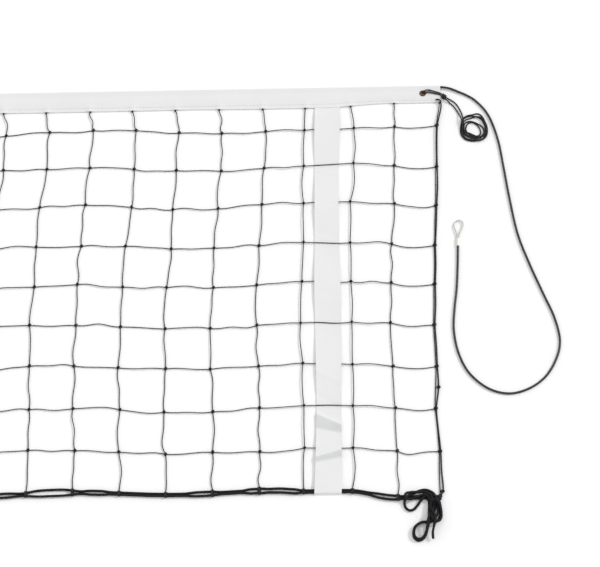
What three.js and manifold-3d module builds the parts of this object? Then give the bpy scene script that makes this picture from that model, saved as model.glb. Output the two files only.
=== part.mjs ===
// A full-size volleyball net, laid out flat: square-mesh netting between a
// folded top band with a steel head cable and a braided bottom rope, with
// woven marker tapes, eyelets, tie cords and cable ends that finish in eyes.
//
// Millimetres. X runs along the net, Y from the bottom rope (-) to the top
// band (+), Z is up, and the net lies on the plane z = 0.

import * as THREE from 'three';
import { mergeVertices } from 'three/addons/utils/BufferGeometryUtils.js';
import Module from 'manifold-3d';

const wasm = await Module();
wasm.setup();

// ------------------------------------------------------------ dimensions

const GAP = 0.3;               // clearance between pieces that touch
const FLOOR_CLEARANCE = 0.1;   // free cords lie this far off the plane

const MESH = 100;              // square mesh, knot to knot
const COLUMNS = 95;            // meshes along the net
const ROWS = 9;                // whole meshes from the first cord to the bottom line
const TWINE = 2.5;             // netting cord
const FIRST_CORD_DROP = 108;   // band's top edge to the first netting cord

const CLOTH = 0.8;             // coated cloth of the top band
const BAND_HEIGHT = 52;        // folded band, top edge to hem
const BAND_OVERHANG = 8;       // band past the outermost netting cord
const BAND_LAP = 22;           // netting caught inside the band
const FOLD_SLOPE = THREE.MathUtils.degToRad(17.5);

const CABLE = 5;               // coated steel head cable
const LINE = 4;                // selvedge line along the bottom
const ROPE = 5.4;              // braided bottom rope
const TIE = 2.8;               // tie cord at each top corner
const TAPE = 0.7;              // woven marker tape, thickness
const TAPE_WIDTH = 55;
const TAPE_COLUMN = 3;         // mesh column that holds a tape, counted from the end

const EYELET = { drop: 20.5, inset: 40, bore: 4, barrel: 4.7, flange: 8, sheet: 0.6, lip: 0.8 };
const FERRULE = { width: 9, height: 6, length: 20, bevel: 0.8 };
const EYE = { wire: 3, width: 23, length: 46, neck: 3.6 };
const KNOT = { radius: 4.6, length: 10, chamfer: 1.4 };
const TIE_COIL = { x: 82.5, y: 397, rx: 30, ry: 36, wall: 9, height: 8.4 };
const CABLE_COIL = { radius: 30.5, wall: 15.4, height: 10.4, x: 145 };
const HANK = { x: -19, drop: 9, width: 30, length: 58, height: 14 };
const ROPE_LOOP = { x: -51, drop: 92, rx: 15, ry: 22, height: ROPE };

// Levels above the plane, from the eyelet washer up.
const BAND_Z = EYELET.sheet + GAP;
const TWINE_Z = BAND_Z + CLOTH + GAP;
const TWINE_MID_Z = TWINE_Z + TWINE / 2;
const BAND_TOP_Z = TWINE_Z + TWINE + GAP + CLOTH;
const ROPE_Z = GAP + TAPE + FLOOR_CLEARANCE + ROPE / 2;

// Places across the net. The whole height is centred on y = 0.
const HALF_HEIGHT = (FIRST_CORD_DROP + ROWS * MESH + LINE / 2 + ROPE + TAPE + 2 * GAP) / 2;
const HEM_Y = HALF_HEIGHT - BAND_HEIGHT;
const FIRST_Y = HALF_HEIGHT - FIRST_CORD_DROP;
const LINE_Y = FIRST_Y - ROWS * MESH;
const ROPE_Y = LINE_Y - LINE / 2 - GAP - ROPE / 2;
const CABLE_Y = HALF_HEIGHT - CLOTH - GAP - CABLE / 2;
const CABLE_Z = BAND_Z + CLOTH + GAP + CABLE / 2;
const EYELET_Y = HALF_HEIGHT - EYELET.drop;

// Places along the net.
const EDGE_X = COLUMNS * MESH / 2;
const BAND_END_X = EDGE_X + BAND_OVERHANG;
const EYELET_X = BAND_END_X - EYELET.inset;
const SIDE_LINE_X = EDGE_X + TWINE + GAP;
const ROPE_END_X = EDGE_X - 50;
const TAPE_X = EDGE_X - (TAPE_COLUMN - 0.5) * MESH;

// -------------------------------------------------------------- materials

function material(color, roughness, metalness = 0) {
  return new THREE.MeshStandardMaterial({ color, roughness, metalness });
}

const finishes = {
  cloth: () => material(0xebebea, 0.5),
  tape: () => material(0xeeeeec, 0.8),
  twine: () => material(0x26262a, 0.75),
  rope: () => material(0x1d1d1f, 0.8),
  coating: () => material(0x1a1a1c, 0.35),
  wire: () => material(0x9a9b9d, 0.35, 0.9),
  ferrule: () => material(0xc9cacc, 0.4, 0.9),
  brass: () => material(0x9a6a3c, 0.35, 1),
};

// ----------------------------------------------------------- construction

const net = new THREE.Group();

function addPiece(name, geometry, finish) {
  const piece = new THREE.Mesh(geometry, finishes[finish]());
  piece.name = name;
  net.add(piece);
  return piece;
}

// Turns a shape drawn in (y, z) and extruded by depth into a bar along +X.
function extrudeAlongX(shape, length, startX, curveSegments = 8) {
  const geometry = new THREE.ExtrudeGeometry(shape, {
    depth: length, bevelEnabled: false, curveSegments, steps: 1,
  });
  const yzToWorld = new THREE.Matrix4().makeBasis(
    new THREE.Vector3(0, 1, 0), new THREE.Vector3(0, 0, 1), new THREE.Vector3(1, 0, 0),
  );
  geometry.applyMatrix4(yzToWorld);
  geometry.translate(startX, 0, 0);
  return geometry;
}

// Turns a shape drawn in (x, z) and extruded by depth into a bar along -Y.
function extrudeDownY(shape, length, startY) {
  const geometry = new THREE.ExtrudeGeometry(shape, {
    depth: length, bevelEnabled: false, steps: 1,
  });
  const xzToWorld = new THREE.Matrix4().makeBasis(
    new THREE.Vector3(1, 0, 0), new THREE.Vector3(0, 0, 1), new THREE.Vector3(0, -1, 0),
  );
  geometry.applyMatrix4(xzToWorld);
  geometry.translate(0, startY, 0);
  return geometry;
}

function polygon(radius, sides) {
  const corners = [];
  for (let i = 0; i < sides; i += 1) {
    const turn = (i + 0.5) * 2 * Math.PI / sides;
    corners.push(new THREE.Vector2(radius * Math.cos(turn), radius * Math.sin(turn)));
  }
  return new THREE.Shape(corners);
}

function rodAlongX(diameter, fromX, toX, y, z, sides = 8) {
  const geometry = extrudeAlongX(polygon(diameter / 2, sides), toX - fromX, fromX);
  geometry.translate(0, y, z);
  return geometry;
}

function rodDownY(diameter, x, fromY, toY, z, sides = 8) {
  const geometry = extrudeDownY(polygon(diameter / 2, sides), fromY - toY, fromY);
  geometry.translate(x, 0, z);
  return geometry;
}

// A cord of the given diameter along a smooth curve through the points.
function cordAlong(points, diameter, steps) {
  const curve = new THREE.CatmullRomCurve3(points.map((p) => new THREE.Vector3(...p)));
  return new THREE.ExtrudeGeometry(polygon(diameter / 2, 8), {
    steps, extrudePath: curve, bevelEnabled: false,
  });
}

// Revolves a closed (radius, z) profile about the Z axis.
function revolve(profile, segments) {
  const points = profile.map(([radius, z]) => new THREE.Vector2(radius, z));
  points.push(points[0].clone());
  const geometry = new THREE.LatheGeometry(points, segments);
  geometry.rotateX(Math.PI / 2);
  return geometry;
}

function toSolid(geometry) {
  const bare = geometry.clone();
  bare.deleteAttribute('normal');
  bare.deleteAttribute('uv');
  const merged = mergeVertices(bare, 1e-4);
  return new wasm.Manifold(new wasm.Mesh({
    numProp: 3,
    vertProperties: new Float32Array(merged.attributes.position.array),
    triVerts: new Uint32Array(merged.index.array),
  }));
}

function toGeometry(solid) {
  const mesh = solid.getMesh();
  const geometry = new THREE.BufferGeometry();
  geometry.setAttribute('position', new THREE.BufferAttribute(mesh.vertProperties, 3));
  geometry.setIndex(new THREE.BufferAttribute(mesh.triVerts, 1));
  geometry.computeVertexNormals();
  return geometry;
}

// Both ends of the net carry the same fittings: side is +1 right, -1 left.
const ends = [
  { side: 1, label: 'right' },
  { side: -1, label: 'left' },
];

function mirrored(points, side) {
  return points.map(([x, y, z]) => [side * x, y, z]);
}

// --------------------------------------------------------------- top band

// Section of the band in (y, z): one strip of cloth folded over the cable,
// its two flaps lying over and under the top of the netting.
function bandSection() {
  const outer = CABLE / 2 + GAP + CLOTH;
  const inner = CABLE / 2 + GAP;
  const turnEnd = Math.PI / 2 + FOLD_SLOPE;
  const slopeFoot = (radius, flatZ) => {
    const topY = CABLE_Y + radius * Math.cos(turnEnd);
    const topZ = CABLE_Z + radius * Math.sin(turnEnd);
    return topY - (topZ - flatZ) / Math.tan(FOLD_SLOPE);
  };
  const shape = new THREE.Shape();
  shape.moveTo(HEM_Y, BAND_Z);
  shape.lineTo(CABLE_Y, BAND_Z);
  shape.absarc(CABLE_Y, CABLE_Z, outer, -Math.PI / 2, turnEnd, false);
  shape.lineTo(slopeFoot(outer, BAND_TOP_Z), BAND_TOP_Z);
  shape.lineTo(HEM_Y, BAND_TOP_Z);
  shape.lineTo(HEM_Y, BAND_TOP_Z - CLOTH);
  shape.lineTo(slopeFoot(inner, BAND_TOP_Z - CLOTH), BAND_TOP_Z - CLOTH);
  shape.absarc(CABLE_Y, CABLE_Z, inner, turnEnd, -Math.PI / 2, true);
  shape.lineTo(HEM_Y, BAND_Z + CLOTH);
  return shape;
}

function topBand() {
  let band = toSolid(extrudeAlongX(bandSection(), 2 * BAND_END_X, -BAND_END_X, 12));
  for (const { side } of ends) {
    const punch = new THREE.CylinderGeometry(EYELET.barrel + GAP, EYELET.barrel + GAP, 20, 16);
    punch.rotateX(Math.PI / 2);
    punch.translate(side * EYELET_X, EYELET_Y, BAND_Z);
    band = band.subtract(toSolid(punch));
  }
  return toGeometry(band);
}

addPiece('top_band', topBand(), 'cloth');

// ----------------------------------------------------------------- eyelets

// Flange and barrel, drawn up from the washer's underside.
function eyeletFlange() {
  const seat = BAND_TOP_Z + GAP;
  return revolve([
    [EYELET.bore, 0],
    [EYELET.barrel, 0],
    [EYELET.barrel, seat],
    [EYELET.flange, seat],
    [EYELET.flange - 0.4, seat + EYELET.lip],
    [EYELET.bore + 0.8, seat + EYELET.lip],
    [EYELET.bore, seat + EYELET.lip - 0.5],
  ], 16);
}

function eyeletWasher() {
  return revolve([
    [EYELET.barrel + GAP, 0],
    [EYELET.flange, 0],
    [EYELET.flange, EYELET.sheet],
    [EYELET.barrel + GAP, EYELET.sheet],
  ], 16);
}

for (const { side, label } of ends) {
  const flange = addPiece(`eyelet_flange_${label}`, eyeletFlange(), 'brass');
  flange.position.set(side * EYELET_X, EYELET_Y, 0);
  const washer = addPiece(`eyelet_washer_${label}`, eyeletWasher(), 'brass');
  washer.position.set(side * EYELET_X, EYELET_Y, 0);
}

// ----------------------------------------------------------------- netting

// A lattice of knotted cords. Every cord is flat underneath with one ridge on
// top, so two cords that cross at the same level join in clean valleys. A
// section is the three corners a cord shows at one place along it: its left
// and right foot, as seen by someone who follows it, and its ridge.
class Lattice {
  constructor() {
    this.corners = [];
    this.faces = [];
  }

  corner(x, y, z) {
    this.corners.push(x, y, z);
    return this.corners.length / 3 - 1;
  }

  // The knot where two cords cross, with the section it offers each way.
  crossing(x, y) {
    const half = TWINE / 2;
    const northEast = this.corner(x + half, y + half, TWINE_Z);
    const southEast = this.corner(x + half, y - half, TWINE_Z);
    const southWest = this.corner(x - half, y - half, TWINE_Z);
    const northWest = this.corner(x - half, y + half, TWINE_Z);
    const ridge = this.corner(x, y, TWINE_Z + TWINE);
    this.faces.push(northWest, northEast, southEast, northWest, southEast, southWest);
    return {
      east: { left: northEast, right: southEast, ridge },
      south: { left: southEast, right: southWest, ridge },
      west: { left: southWest, right: northWest, ridge },
      north: { left: northWest, right: northEast, ridge },
    };
  }

  // The free end of a cord that heads the way (headingX, headingY).
  freeEnd(x, y, headingX, headingY) {
    const half = TWINE / 2;
    const left = this.corner(x - headingY * half, y + headingX * half, TWINE_Z);
    const right = this.corner(x + headingY * half, y - headingX * half, TWINE_Z);
    const ridge = this.corner(x, y, TWINE_Z + TWINE);
    return { left, right, ridge };
  }

  // Closes a section that nothing continues.
  cap({ left, right, ridge }) {
    this.faces.push(right, left, ridge);
  }

  // Runs a cord between two sections, both seen the way it heads.
  cord(from, to) {
    this.faces.push(
      from.left, from.ridge, to.ridge,
      from.left, to.ridge, to.left,
      from.right, to.right, to.ridge,
      from.right, to.ridge, from.ridge,
      from.left, to.left, to.right,
      from.left, to.right, from.right,
    );
  }

  geometry() {
    const geometry = new THREE.BufferGeometry();
    geometry.setAttribute('position', new THREE.Float32BufferAttribute(this.corners, 3));
    geometry.setIndex(this.faces);
    geometry.computeVertexNormals();
    return geometry;
  }
}

// The same section seen by someone who comes the other way.
function turned({ left, right, ridge }) {
  return { left: right, right: left, ridge };
}

// One half of the netting: every cord of the half, knotted into one piece.
// It is built from its left-hand column of knots to its right-hand one.
function nettingHalf(side) {
  const lattice = new Lattice();
  const columns = (COLUMNS + 1) / 2;
  const firstX = side > 0 ? MESH / 2 : -EDGE_X;
  const knots = [];
  for (let column = 0; column < columns; column += 1) {
    const x = firstX + column * MESH;
    const knotColumn = [];
    for (let row = 0; row < ROWS; row += 1) {
      knotColumn.push(lattice.crossing(x, FIRST_Y - row * MESH));
    }
    for (let row = 1; row < ROWS; row += 1) {
      lattice.cord(knotColumn[row - 1].south, turned(knotColumn[row].north));
    }
    const top = lattice.freeEnd(x, HEM_Y + BAND_LAP, 0, 1);
    lattice.cord(knotColumn[0].north, top);
    lattice.cap(top);
    const bottom = lattice.freeEnd(x, LINE_Y + LINE / 2 + GAP, 0, -1);
    lattice.cord(knotColumn[ROWS - 1].south, bottom);
    lattice.cap(bottom);
    knots.push(knotColumn);
  }
  for (let row = 0; row < ROWS; row += 1) {
    const y = FIRST_Y - row * MESH;
    for (let column = 1; column < columns; column += 1) {
      lattice.cord(knots[column - 1][row].east, turned(knots[column][row].west));
    }
    const middle = lattice.freeEnd(side * GAP / 2, y, -side, 0);
    if (side > 0) {
      lattice.cord(knots[0][row].west, middle);
      lattice.cap(knots[columns - 1][row].east);
    } else {
      lattice.cord(knots[columns - 1][row].east, middle);
      lattice.cap(knots[0][row].west);
    }
    lattice.cap(middle);
  }
  return lattice.geometry();
}

for (const { side, label } of ends) {
  addPiece(`netting_${label}_half`, nettingHalf(side), 'twine');
}

// Edge cord beside the outermost netting cord, from inside the band's lower
// corner to a cut tip just past the bottom rope.
for (const { side, label } of ends) {
  const tipY = ROPE_Y - ROPE;
  const edge = rodDownY(TWINE, side * SIDE_LINE_X, HEM_Y + BAND_LAP / 2, tipY, TWINE_MID_Z);
  addPiece(`edge_cord_${label}`, edge, 'twine');
}

// ------------------------------------------------- bottom line and rope

addPiece(
  'bottom_line',
  rodAlongX(LINE, -EDGE_X - TWINE / 2, EDGE_X + TWINE / 2, LINE_Y, TWINE_MID_Z),
  'twine',
);
addPiece('bottom_rope', rodAlongX(ROPE, -ROPE_END_X, ROPE_END_X, ROPE_Y, ROPE_Z, 10), 'rope');

// A flat block with round ends, long in Y, standing on the plane.
function hankBlock(width, length, height) {
  const radius = width / 2;
  const straight = length / 2 - radius;
  const outline = new THREE.Shape();
  outline.moveTo(radius, -straight);
  outline.lineTo(radius, straight);
  outline.absarc(0, straight, radius, 0, Math.PI, false);
  outline.lineTo(-radius, -straight);
  outline.absarc(0, -straight, radius, Math.PI, 2 * Math.PI, false);
  return new THREE.ExtrudeGeometry(outline, {
    depth: height, bevelEnabled: false, curveSegments: 8,
  });
}

// The outer shape of a coil lying flat: a ring with rounded shoulders.
function coilRing(outerX, outerY, wall, height, segments = 24) {
  const shoulder = height * 0.25;
  const ring = revolve([
    [outerX - wall + shoulder, 0],
    [outerX - shoulder, 0],
    [outerX, shoulder],
    [outerX, height - shoulder],
    [outerX - shoulder, height],
    [outerX - wall + shoulder, height],
    [outerX - wall, height - shoulder],
    [outerX - wall, shoulder],
  ], segments);
  ring.scale(1, outerY / outerX, 1);
  return ring;
}

for (const { side, label } of ends) {
  const hankX = EDGE_X + HANK.x;
  const hankTopY = ROPE_Y - HANK.drop;
  const lead = [
    [ROPE_END_X + GAP, ROPE_Y, ROPE_Z],
    [ROPE_END_X + 10, ROPE_Y, ROPE_Z],
    [hankX - 9, ROPE_Y, ROPE_Z],
    [hankX - 2.6, ROPE_Y - 2, ROPE_Z],
    [hankX, hankTopY + 2.5, ROPE_Z],
    [hankX, hankTopY + GAP, ROPE_Z],
  ];
  addPiece(`rope_lead_${label}`, cordAlong(mirrored(lead, side), ROPE, 8), 'rope');
  const hank = addPiece(
    `rope_hank_${label}`, hankBlock(HANK.width, HANK.length, HANK.height), 'rope',
  );
  hank.position.set(side * hankX, hankTopY - HANK.length / 2, FLOOR_CLEARANCE);
  const loop = addPiece(
    `rope_loop_${label}`,
    coilRing(ROPE_LOOP.rx, ROPE_LOOP.ry, ROPE, ROPE_LOOP.height, 20),
    'rope',
  );
  loop.position.set(side * (EDGE_X + ROPE_LOOP.x), ROPE_Y - ROPE_LOOP.drop, FLOOR_CLEARANCE);
}

// ------------------------------------------------------------ marker tapes

// Middle line of a tape in (y, z): over and under the netting cords in turn,
// over the bottom line and rope, round the rope and back to the tape's back.
function tapeLine() {
  const overZ = TWINE_Z + TWINE + GAP + TAPE / 2;
  const underZ = TWINE_Z - GAP - TAPE / 2;
  const midZ = (overZ + underZ) / 2;
  const swing = (overZ - underZ) / 2;
  const step = MESH / 4;
  const wrap = ROPE / 2 + GAP + TAPE / 2;
  const line = [];
  const wave = (y) => midZ + swing * Math.cos(Math.PI * (FIRST_Y - y) / MESH);
  const startY = HEM_Y - GAP;
  line.push([startY, wave(startY)]);
  for (let y = FIRST_Y + 2 * step; y > FIRST_Y - (ROWS - 1) * MESH - 1; y -= step) {
    line.push([y, wave(y)]);
  }
  const riseY = LINE_Y + MESH / 4;
  line.push([riseY, overZ + 0.6]);
  line.push([LINE_Y + LINE, ROPE_Z + wrap]);
  const turns = 8;
  for (let i = 0; i <= turns; i += 1) {
    const angle = Math.PI / 2 + Math.PI * i / turns;
    line.push([ROPE_Y + wrap * Math.cos(angle), ROPE_Z + wrap * Math.sin(angle)]);
  }
  line.push([LINE_Y + LINE, ROPE_Z - wrap]);
  line.push([riseY, overZ + 0.6 - TAPE - GAP]);
  line.push([riseY + 8, overZ + 0.55 - TAPE - GAP]);
  return line.map(([y, z]) => new THREE.Vector2(y, z));
}

// Thickens an open line into a closed strip outline.
function stripOutline(line, thickness) {
  const near = [];
  const far = [];
  line.forEach((point, i) => {
    const before = line[Math.max(i - 1, 0)];
    const after = line[Math.min(i + 1, line.length - 1)];
    const along = after.clone().sub(before).normalize();
    const across = new THREE.Vector2(-along.y, along.x).multiplyScalar(thickness / 2);
    near.push(point.clone().add(across));
    far.push(point.clone().sub(across));
  });
  return new THREE.Shape([...near, ...far.reverse()]);
}

for (const { side, label } of ends) {
  const outline = stripOutline(tapeLine(), TAPE);
  const startX = side * TAPE_X - TAPE_WIDTH / 2;
  addPiece(`marker_tape_${label}`, extrudeAlongX(outline, TAPE_WIDTH, startX), 'tape');
}

// -------------------------------------------------------------- head cable

const CABLE_REST_Z = CABLE / 2 + FLOOR_CLEARANCE;
const CABLE_EXIT_X = BAND_END_X - 2;

addPiece(
  'head_cable',
  rodAlongX(CABLE, -CABLE_EXIT_X, CABLE_EXIT_X, CABLE_Y, CABLE_Z, 10),
  'coating',
);

// Pressed sleeve that closes an eye, its length along Y from the origin.
function ferrule() {
  const { width, height, length, bevel } = FERRULE;
  const radius = height / 2 - bevel;
  const straight = width / 2 - height / 2;
  const outline = new THREE.Shape();
  outline.moveTo(-straight, -radius);
  outline.lineTo(straight, -radius);
  outline.absarc(straight, 0, radius, -Math.PI / 2, Math.PI / 2, false);
  outline.lineTo(-straight, radius);
  outline.absarc(-straight, 0, radius, Math.PI / 2, 1.5 * Math.PI, false);
  const geometry = new THREE.ExtrudeGeometry(outline, {
    depth: length - 2 * bevel,
    bevelEnabled: true,
    bevelThickness: bevel,
    bevelSize: bevel,
    bevelSegments: 1,
    curveSegments: 5,
  });
  geometry.rotateX(-Math.PI / 2);
  geometry.translate(0, bevel, 0);
  return geometry;
}

// Bare wire turned back on itself: a round eye on long sides that close on its neck.
function wireEye() {
  const { wire, width, length, neck } = EYE;
  const half = (width - wire) / 2;
  const tip = length - wire / 2;
  const side = [
    [neck / 2, 0],
    [neck / 2, 4],
    [half * 0.5, 14],
    [half * 0.84, 24],
    [half, 33],
    [half * 0.72, 41],
  ];
  const points = [
    ...side.map(([x, y]) => [-x, y, 0]),
    [0, tip, 0],
    ...side.map(([x, y]) => [x, y, 0]).reverse(),
  ];
  return cordAlong(points, wire, 22);
}

// Ferrule and eye at the end of a cable, reaching away from (x, y).
function addCableEnd(label, x, y, heading) {
  const sleeve = addPiece(`ferrule_${label}`, ferrule(), 'ferrule');
  sleeve.position.set(x, y + heading * GAP, FERRULE.height / 2 + FLOOR_CLEARANCE);
  sleeve.rotation.z = heading > 0 ? 0 : Math.PI;
  const eye = addPiece(`wire_eye_${label}`, wireEye(), 'wire');
  eye.position.set(x, y + heading * (FERRULE.length + 2 * GAP), sleeve.position.z);
  eye.rotation.z = sleeve.rotation.z;
}

// Right-hand tail: out of the band, away from the net, round a wide bend on
// the ground and back up beside the net's edge.
const rightTail = [
  [CABLE_EXIT_X + GAP, CABLE_Y, CABLE_Z],
  [CABLE_EXIT_X + 8, CABLE_Y, CABLE_Z],
  [4779, 502, 4.2],
  [4799, 492.5, 3.4],
  [4817, 483, CABLE_REST_Z],
  [4833, 472, CABLE_REST_Z],
  [4847, 457.5, CABLE_REST_Z],
  [4860, 440, CABLE_REST_Z],
  [4872, 415, CABLE_REST_Z],
  [4887, 362, CABLE_REST_Z],
  [4898, 289, CABLE_REST_Z],
  [4909, 210, CABLE_REST_Z],
  [4924, 116, CABLE_REST_Z],
  [4948, 43, CABLE_REST_Z],
  [4976, -30, CABLE_REST_Z],
  [5000, -94, CABLE_REST_Z],
  [5009, -150, CABLE_REST_Z],
  [4999, -192, CABLE_REST_Z],
  [4974, -234, CABLE_REST_Z],
  [4938, -261, CABLE_REST_Z],
  [4897, -272, CABLE_REST_Z],
  [4854, -261, CABLE_REST_Z],
  [4812, -224, CABLE_REST_Z],
  [4789, -176, CABLE_REST_Z],
  [4779, -118, CABLE_REST_Z],
  [4781, -70, CABLE_REST_Z],
  [4787, -15, CABLE_REST_Z],
  [4790, 40, 2.8],
  [4791.5, 90, 3.1],
];
addPiece('cable_tail_right', cordAlong(rightTail, CABLE, 72), 'coating');
addCableEnd('right', 4791.5, 90, 1);

// Left-hand tail: straight out of the band, far enough for the cable to slide
// back into it, then into a round coil, put away.
const coilX = -BAND_END_X - CABLE_COIL.x;
const coilY = CABLE_Y - CABLE_COIL.radius - CABLE;
const coilOuter = CABLE_COIL.radius + CABLE_COIL.wall / 2;
const coilTouch = Math.sqrt(coilOuter ** 2 - (CABLE_COIL.radius + CABLE / 2) ** 2) + GAP;
const leftLead = [
  [-CABLE_EXIT_X - GAP, CABLE_Y, CABLE_Z],
  [-CABLE_EXIT_X - 10, CABLE_Y, CABLE_Z],
  [-CABLE_EXIT_X - 32, CABLE_Y, CABLE_Z],
  [-CABLE_EXIT_X - 56, CABLE_Y, 3.8],
  [-CABLE_EXIT_X - 80, CABLE_Y, 3],
  [-CABLE_EXIT_X - 104, CABLE_Y, CABLE_REST_Z],
  [coilX + coilTouch, CABLE_Y, CABLE_REST_Z],
];
addPiece('cable_tail_left', cordAlong(leftLead, CABLE, 10), 'coating');
const cableCoil = addPiece(
  'cable_coil_left',
  coilRing(coilOuter, coilOuter, CABLE_COIL.wall, CABLE_COIL.height),
  'coating',
);
cableCoil.position.set(coilX, coilY, FLOOR_CLEARANCE);
const leftEndX = coilX - CABLE_COIL.radius - CABLE;
const leftEnd = [
  [leftEndX, coilY - coilTouch, CABLE_REST_Z],
  [leftEndX, coilY - 30, CABLE_REST_Z],
  [leftEndX, coilY - 45, 2.9],
  [leftEndX, coilY - 60, 3.1],
];
addPiece('cable_end_left', cordAlong(leftEnd, CABLE, 5), 'coating');
addCableEnd('left', leftEndX, coilY - 60, -1);

// --------------------------------------------------------------- tie cords

const TIE_REST_Z = TIE / 2 + FLOOR_CLEARANCE;
const OVER_FLANGE_Z = BAND_TOP_Z + GAP + EYELET.lip + GAP + TIE / 2;
const knotPlace = new THREE.Vector3(4766, 478.5, KNOT.radius + FLOOR_CLEARANCE);
const knotTurn = THREE.MathUtils.degToRad(-38);

// Overhand knot as a short barrel, its axis along X.
function knotBarrel() {
  const { radius, length, chamfer } = KNOT;
  const half = length / 2;
  const barrel = new THREE.LatheGeometry([
    new THREE.Vector2(0, -half),
    new THREE.Vector2(radius - chamfer, -half),
    new THREE.Vector2(radius, -half + chamfer),
    new THREE.Vector2(radius, half - chamfer),
    new THREE.Vector2(radius - chamfer, half),
    new THREE.Vector2(0, half),
  ], 10);
  barrel.rotateZ(-Math.PI / 2);
  return barrel;
}

// A point by the knot: along its axis, across it and above its middle.
function byKnot(along, across, rise = 0) {
  const reach = new THREE.Vector2(along, across).rotateAround(new THREE.Vector2(), knotTurn);
  return [knotPlace.x + reach.x, knotPlace.y + reach.y, knotPlace.z + rise];
}

const knotFace = KNOT.length / 2 + GAP;
const strandOffset = TIE / 2 + GAP;
const strandRise = 2;
const strandPaths = [
  [
    [EYELET_X, EYELET_Y + strandOffset, TWINE_Z],
    [EYELET_X + 0.2, EYELET_Y + strandOffset, OVER_FLANGE_Z - 2.8],
    [EYELET_X + 1.8, EYELET_Y + strandOffset + 1, OVER_FLANGE_Z],
    [EYELET_X + 6, EYELET_Y + 4.6, OVER_FLANGE_Z + 0.9],
    [EYELET_X + 13, EYELET_Y + 6.6, OVER_FLANGE_Z + 0.2],
    [EYELET_X + 26, EYELET_Y + 3.6, OVER_FLANGE_Z - 0.4],
    byKnot(-11, strandOffset, strandRise + 1.3),
    byKnot(-knotFace, strandOffset, strandRise),
  ],
  [
    [EYELET_X, EYELET_Y - strandOffset, TWINE_Z],
    [EYELET_X + 0.2, EYELET_Y - strandOffset, OVER_FLANGE_Z - 2.8],
    [EYELET_X + 1.8, EYELET_Y - strandOffset, OVER_FLANGE_Z],
    [EYELET_X + 6, EYELET_Y - 0.2, OVER_FLANGE_Z + 0.9],
    [EYELET_X + 13, EYELET_Y + 1, OVER_FLANGE_Z],
    [EYELET_X + 26, EYELET_Y - 1, OVER_FLANGE_Z - 0.6],
    byKnot(-11, -strandOffset, strandRise + 1.3),
    byKnot(-knotFace, -strandOffset, strandRise),
  ],
];
const tailPaths = [
  [
    byKnot(knotFace, strandOffset),
    byKnot(knotFace + 2, strandOffset),
    byKnot(knotFace + 6, strandOffset + 0.4, -1.6),
    [4782, 469.5, 2.2],
    [4790, 463.5, TIE_REST_Z],
    [4797, 454, TIE_REST_Z],
    [4803, 441.5, TIE_REST_Z],
    [4808.6, 428.5, TIE_REST_Z],
  ],
  [
    byKnot(knotFace, -strandOffset),
    byKnot(knotFace + 2, -strandOffset),
    byKnot(knotFace + 6, -strandOffset - 1.4, -1.6),
    [4780, 462, 2.2],
    [4786, 455, TIE_REST_Z],
    [4793, 444, TIE_REST_Z],
    [4799, 433, TIE_REST_Z],
    [4804.2, 423, TIE_REST_Z],
  ],
];

for (const { side, label } of ends) {
  strandPaths.forEach((path, i) => {
    addPiece(`tie_strand_${label}_${i + 1}`, cordAlong(mirrored(path, side), TIE, 10), 'twine');
  });
  const knot = addPiece(`tie_knot_${label}`, knotBarrel(), 'twine');
  knot.position.set(side * knotPlace.x, knotPlace.y, knotPlace.z);
  knot.rotation.z = side * knotTurn;
  tailPaths.forEach((path, i) => {
    addPiece(`tie_tail_${label}_${i + 1}`, cordAlong(mirrored(path, side), TIE, 8), 'twine');
  });
  const coil = addPiece(
    `tie_coil_${label}`,
    coilRing(TIE_COIL.rx, TIE_COIL.ry, TIE_COIL.wall, TIE_COIL.height, 20),
    'twine',
  );
  coil.position.set(side * (EDGE_X + TIE_COIL.x), TIE_COIL.y, FLOOR_CLEARANCE);
}

export default net;
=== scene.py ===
"""A full-size volleyball net spread flat: knotted square netting with a folded
white band on a coated steel cable, woven marker tapes, brass eyelets, tie
cords and a braided rope along the bottom."""

import math

import bpy
import numpy as np
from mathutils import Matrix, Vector


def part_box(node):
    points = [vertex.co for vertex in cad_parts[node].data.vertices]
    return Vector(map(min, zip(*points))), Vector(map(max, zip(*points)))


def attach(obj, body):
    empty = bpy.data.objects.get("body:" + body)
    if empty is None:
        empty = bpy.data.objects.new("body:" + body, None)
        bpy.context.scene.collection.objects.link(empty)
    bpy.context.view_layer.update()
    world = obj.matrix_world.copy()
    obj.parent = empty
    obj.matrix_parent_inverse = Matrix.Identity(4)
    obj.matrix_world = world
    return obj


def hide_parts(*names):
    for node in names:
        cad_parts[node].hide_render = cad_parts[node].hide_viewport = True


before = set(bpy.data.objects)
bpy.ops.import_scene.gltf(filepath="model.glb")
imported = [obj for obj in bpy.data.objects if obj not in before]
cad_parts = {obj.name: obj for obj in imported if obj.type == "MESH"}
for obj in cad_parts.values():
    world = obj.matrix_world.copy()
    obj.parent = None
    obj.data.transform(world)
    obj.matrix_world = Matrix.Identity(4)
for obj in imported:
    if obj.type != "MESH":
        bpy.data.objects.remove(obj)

bl_info = {
    "name": "Volleyball Net",
    "version": (1, 0, 0),
    "blender": (4, 5, 0),
    "location": "View3D > Sidebar > Net",
    "description": "Builds a full-size volleyball net, its fittings and a studio floor",
    "category": "Add Mesh",
}

MM = 0.001
SIDES = (("right", 1), ("left", -1))

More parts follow.
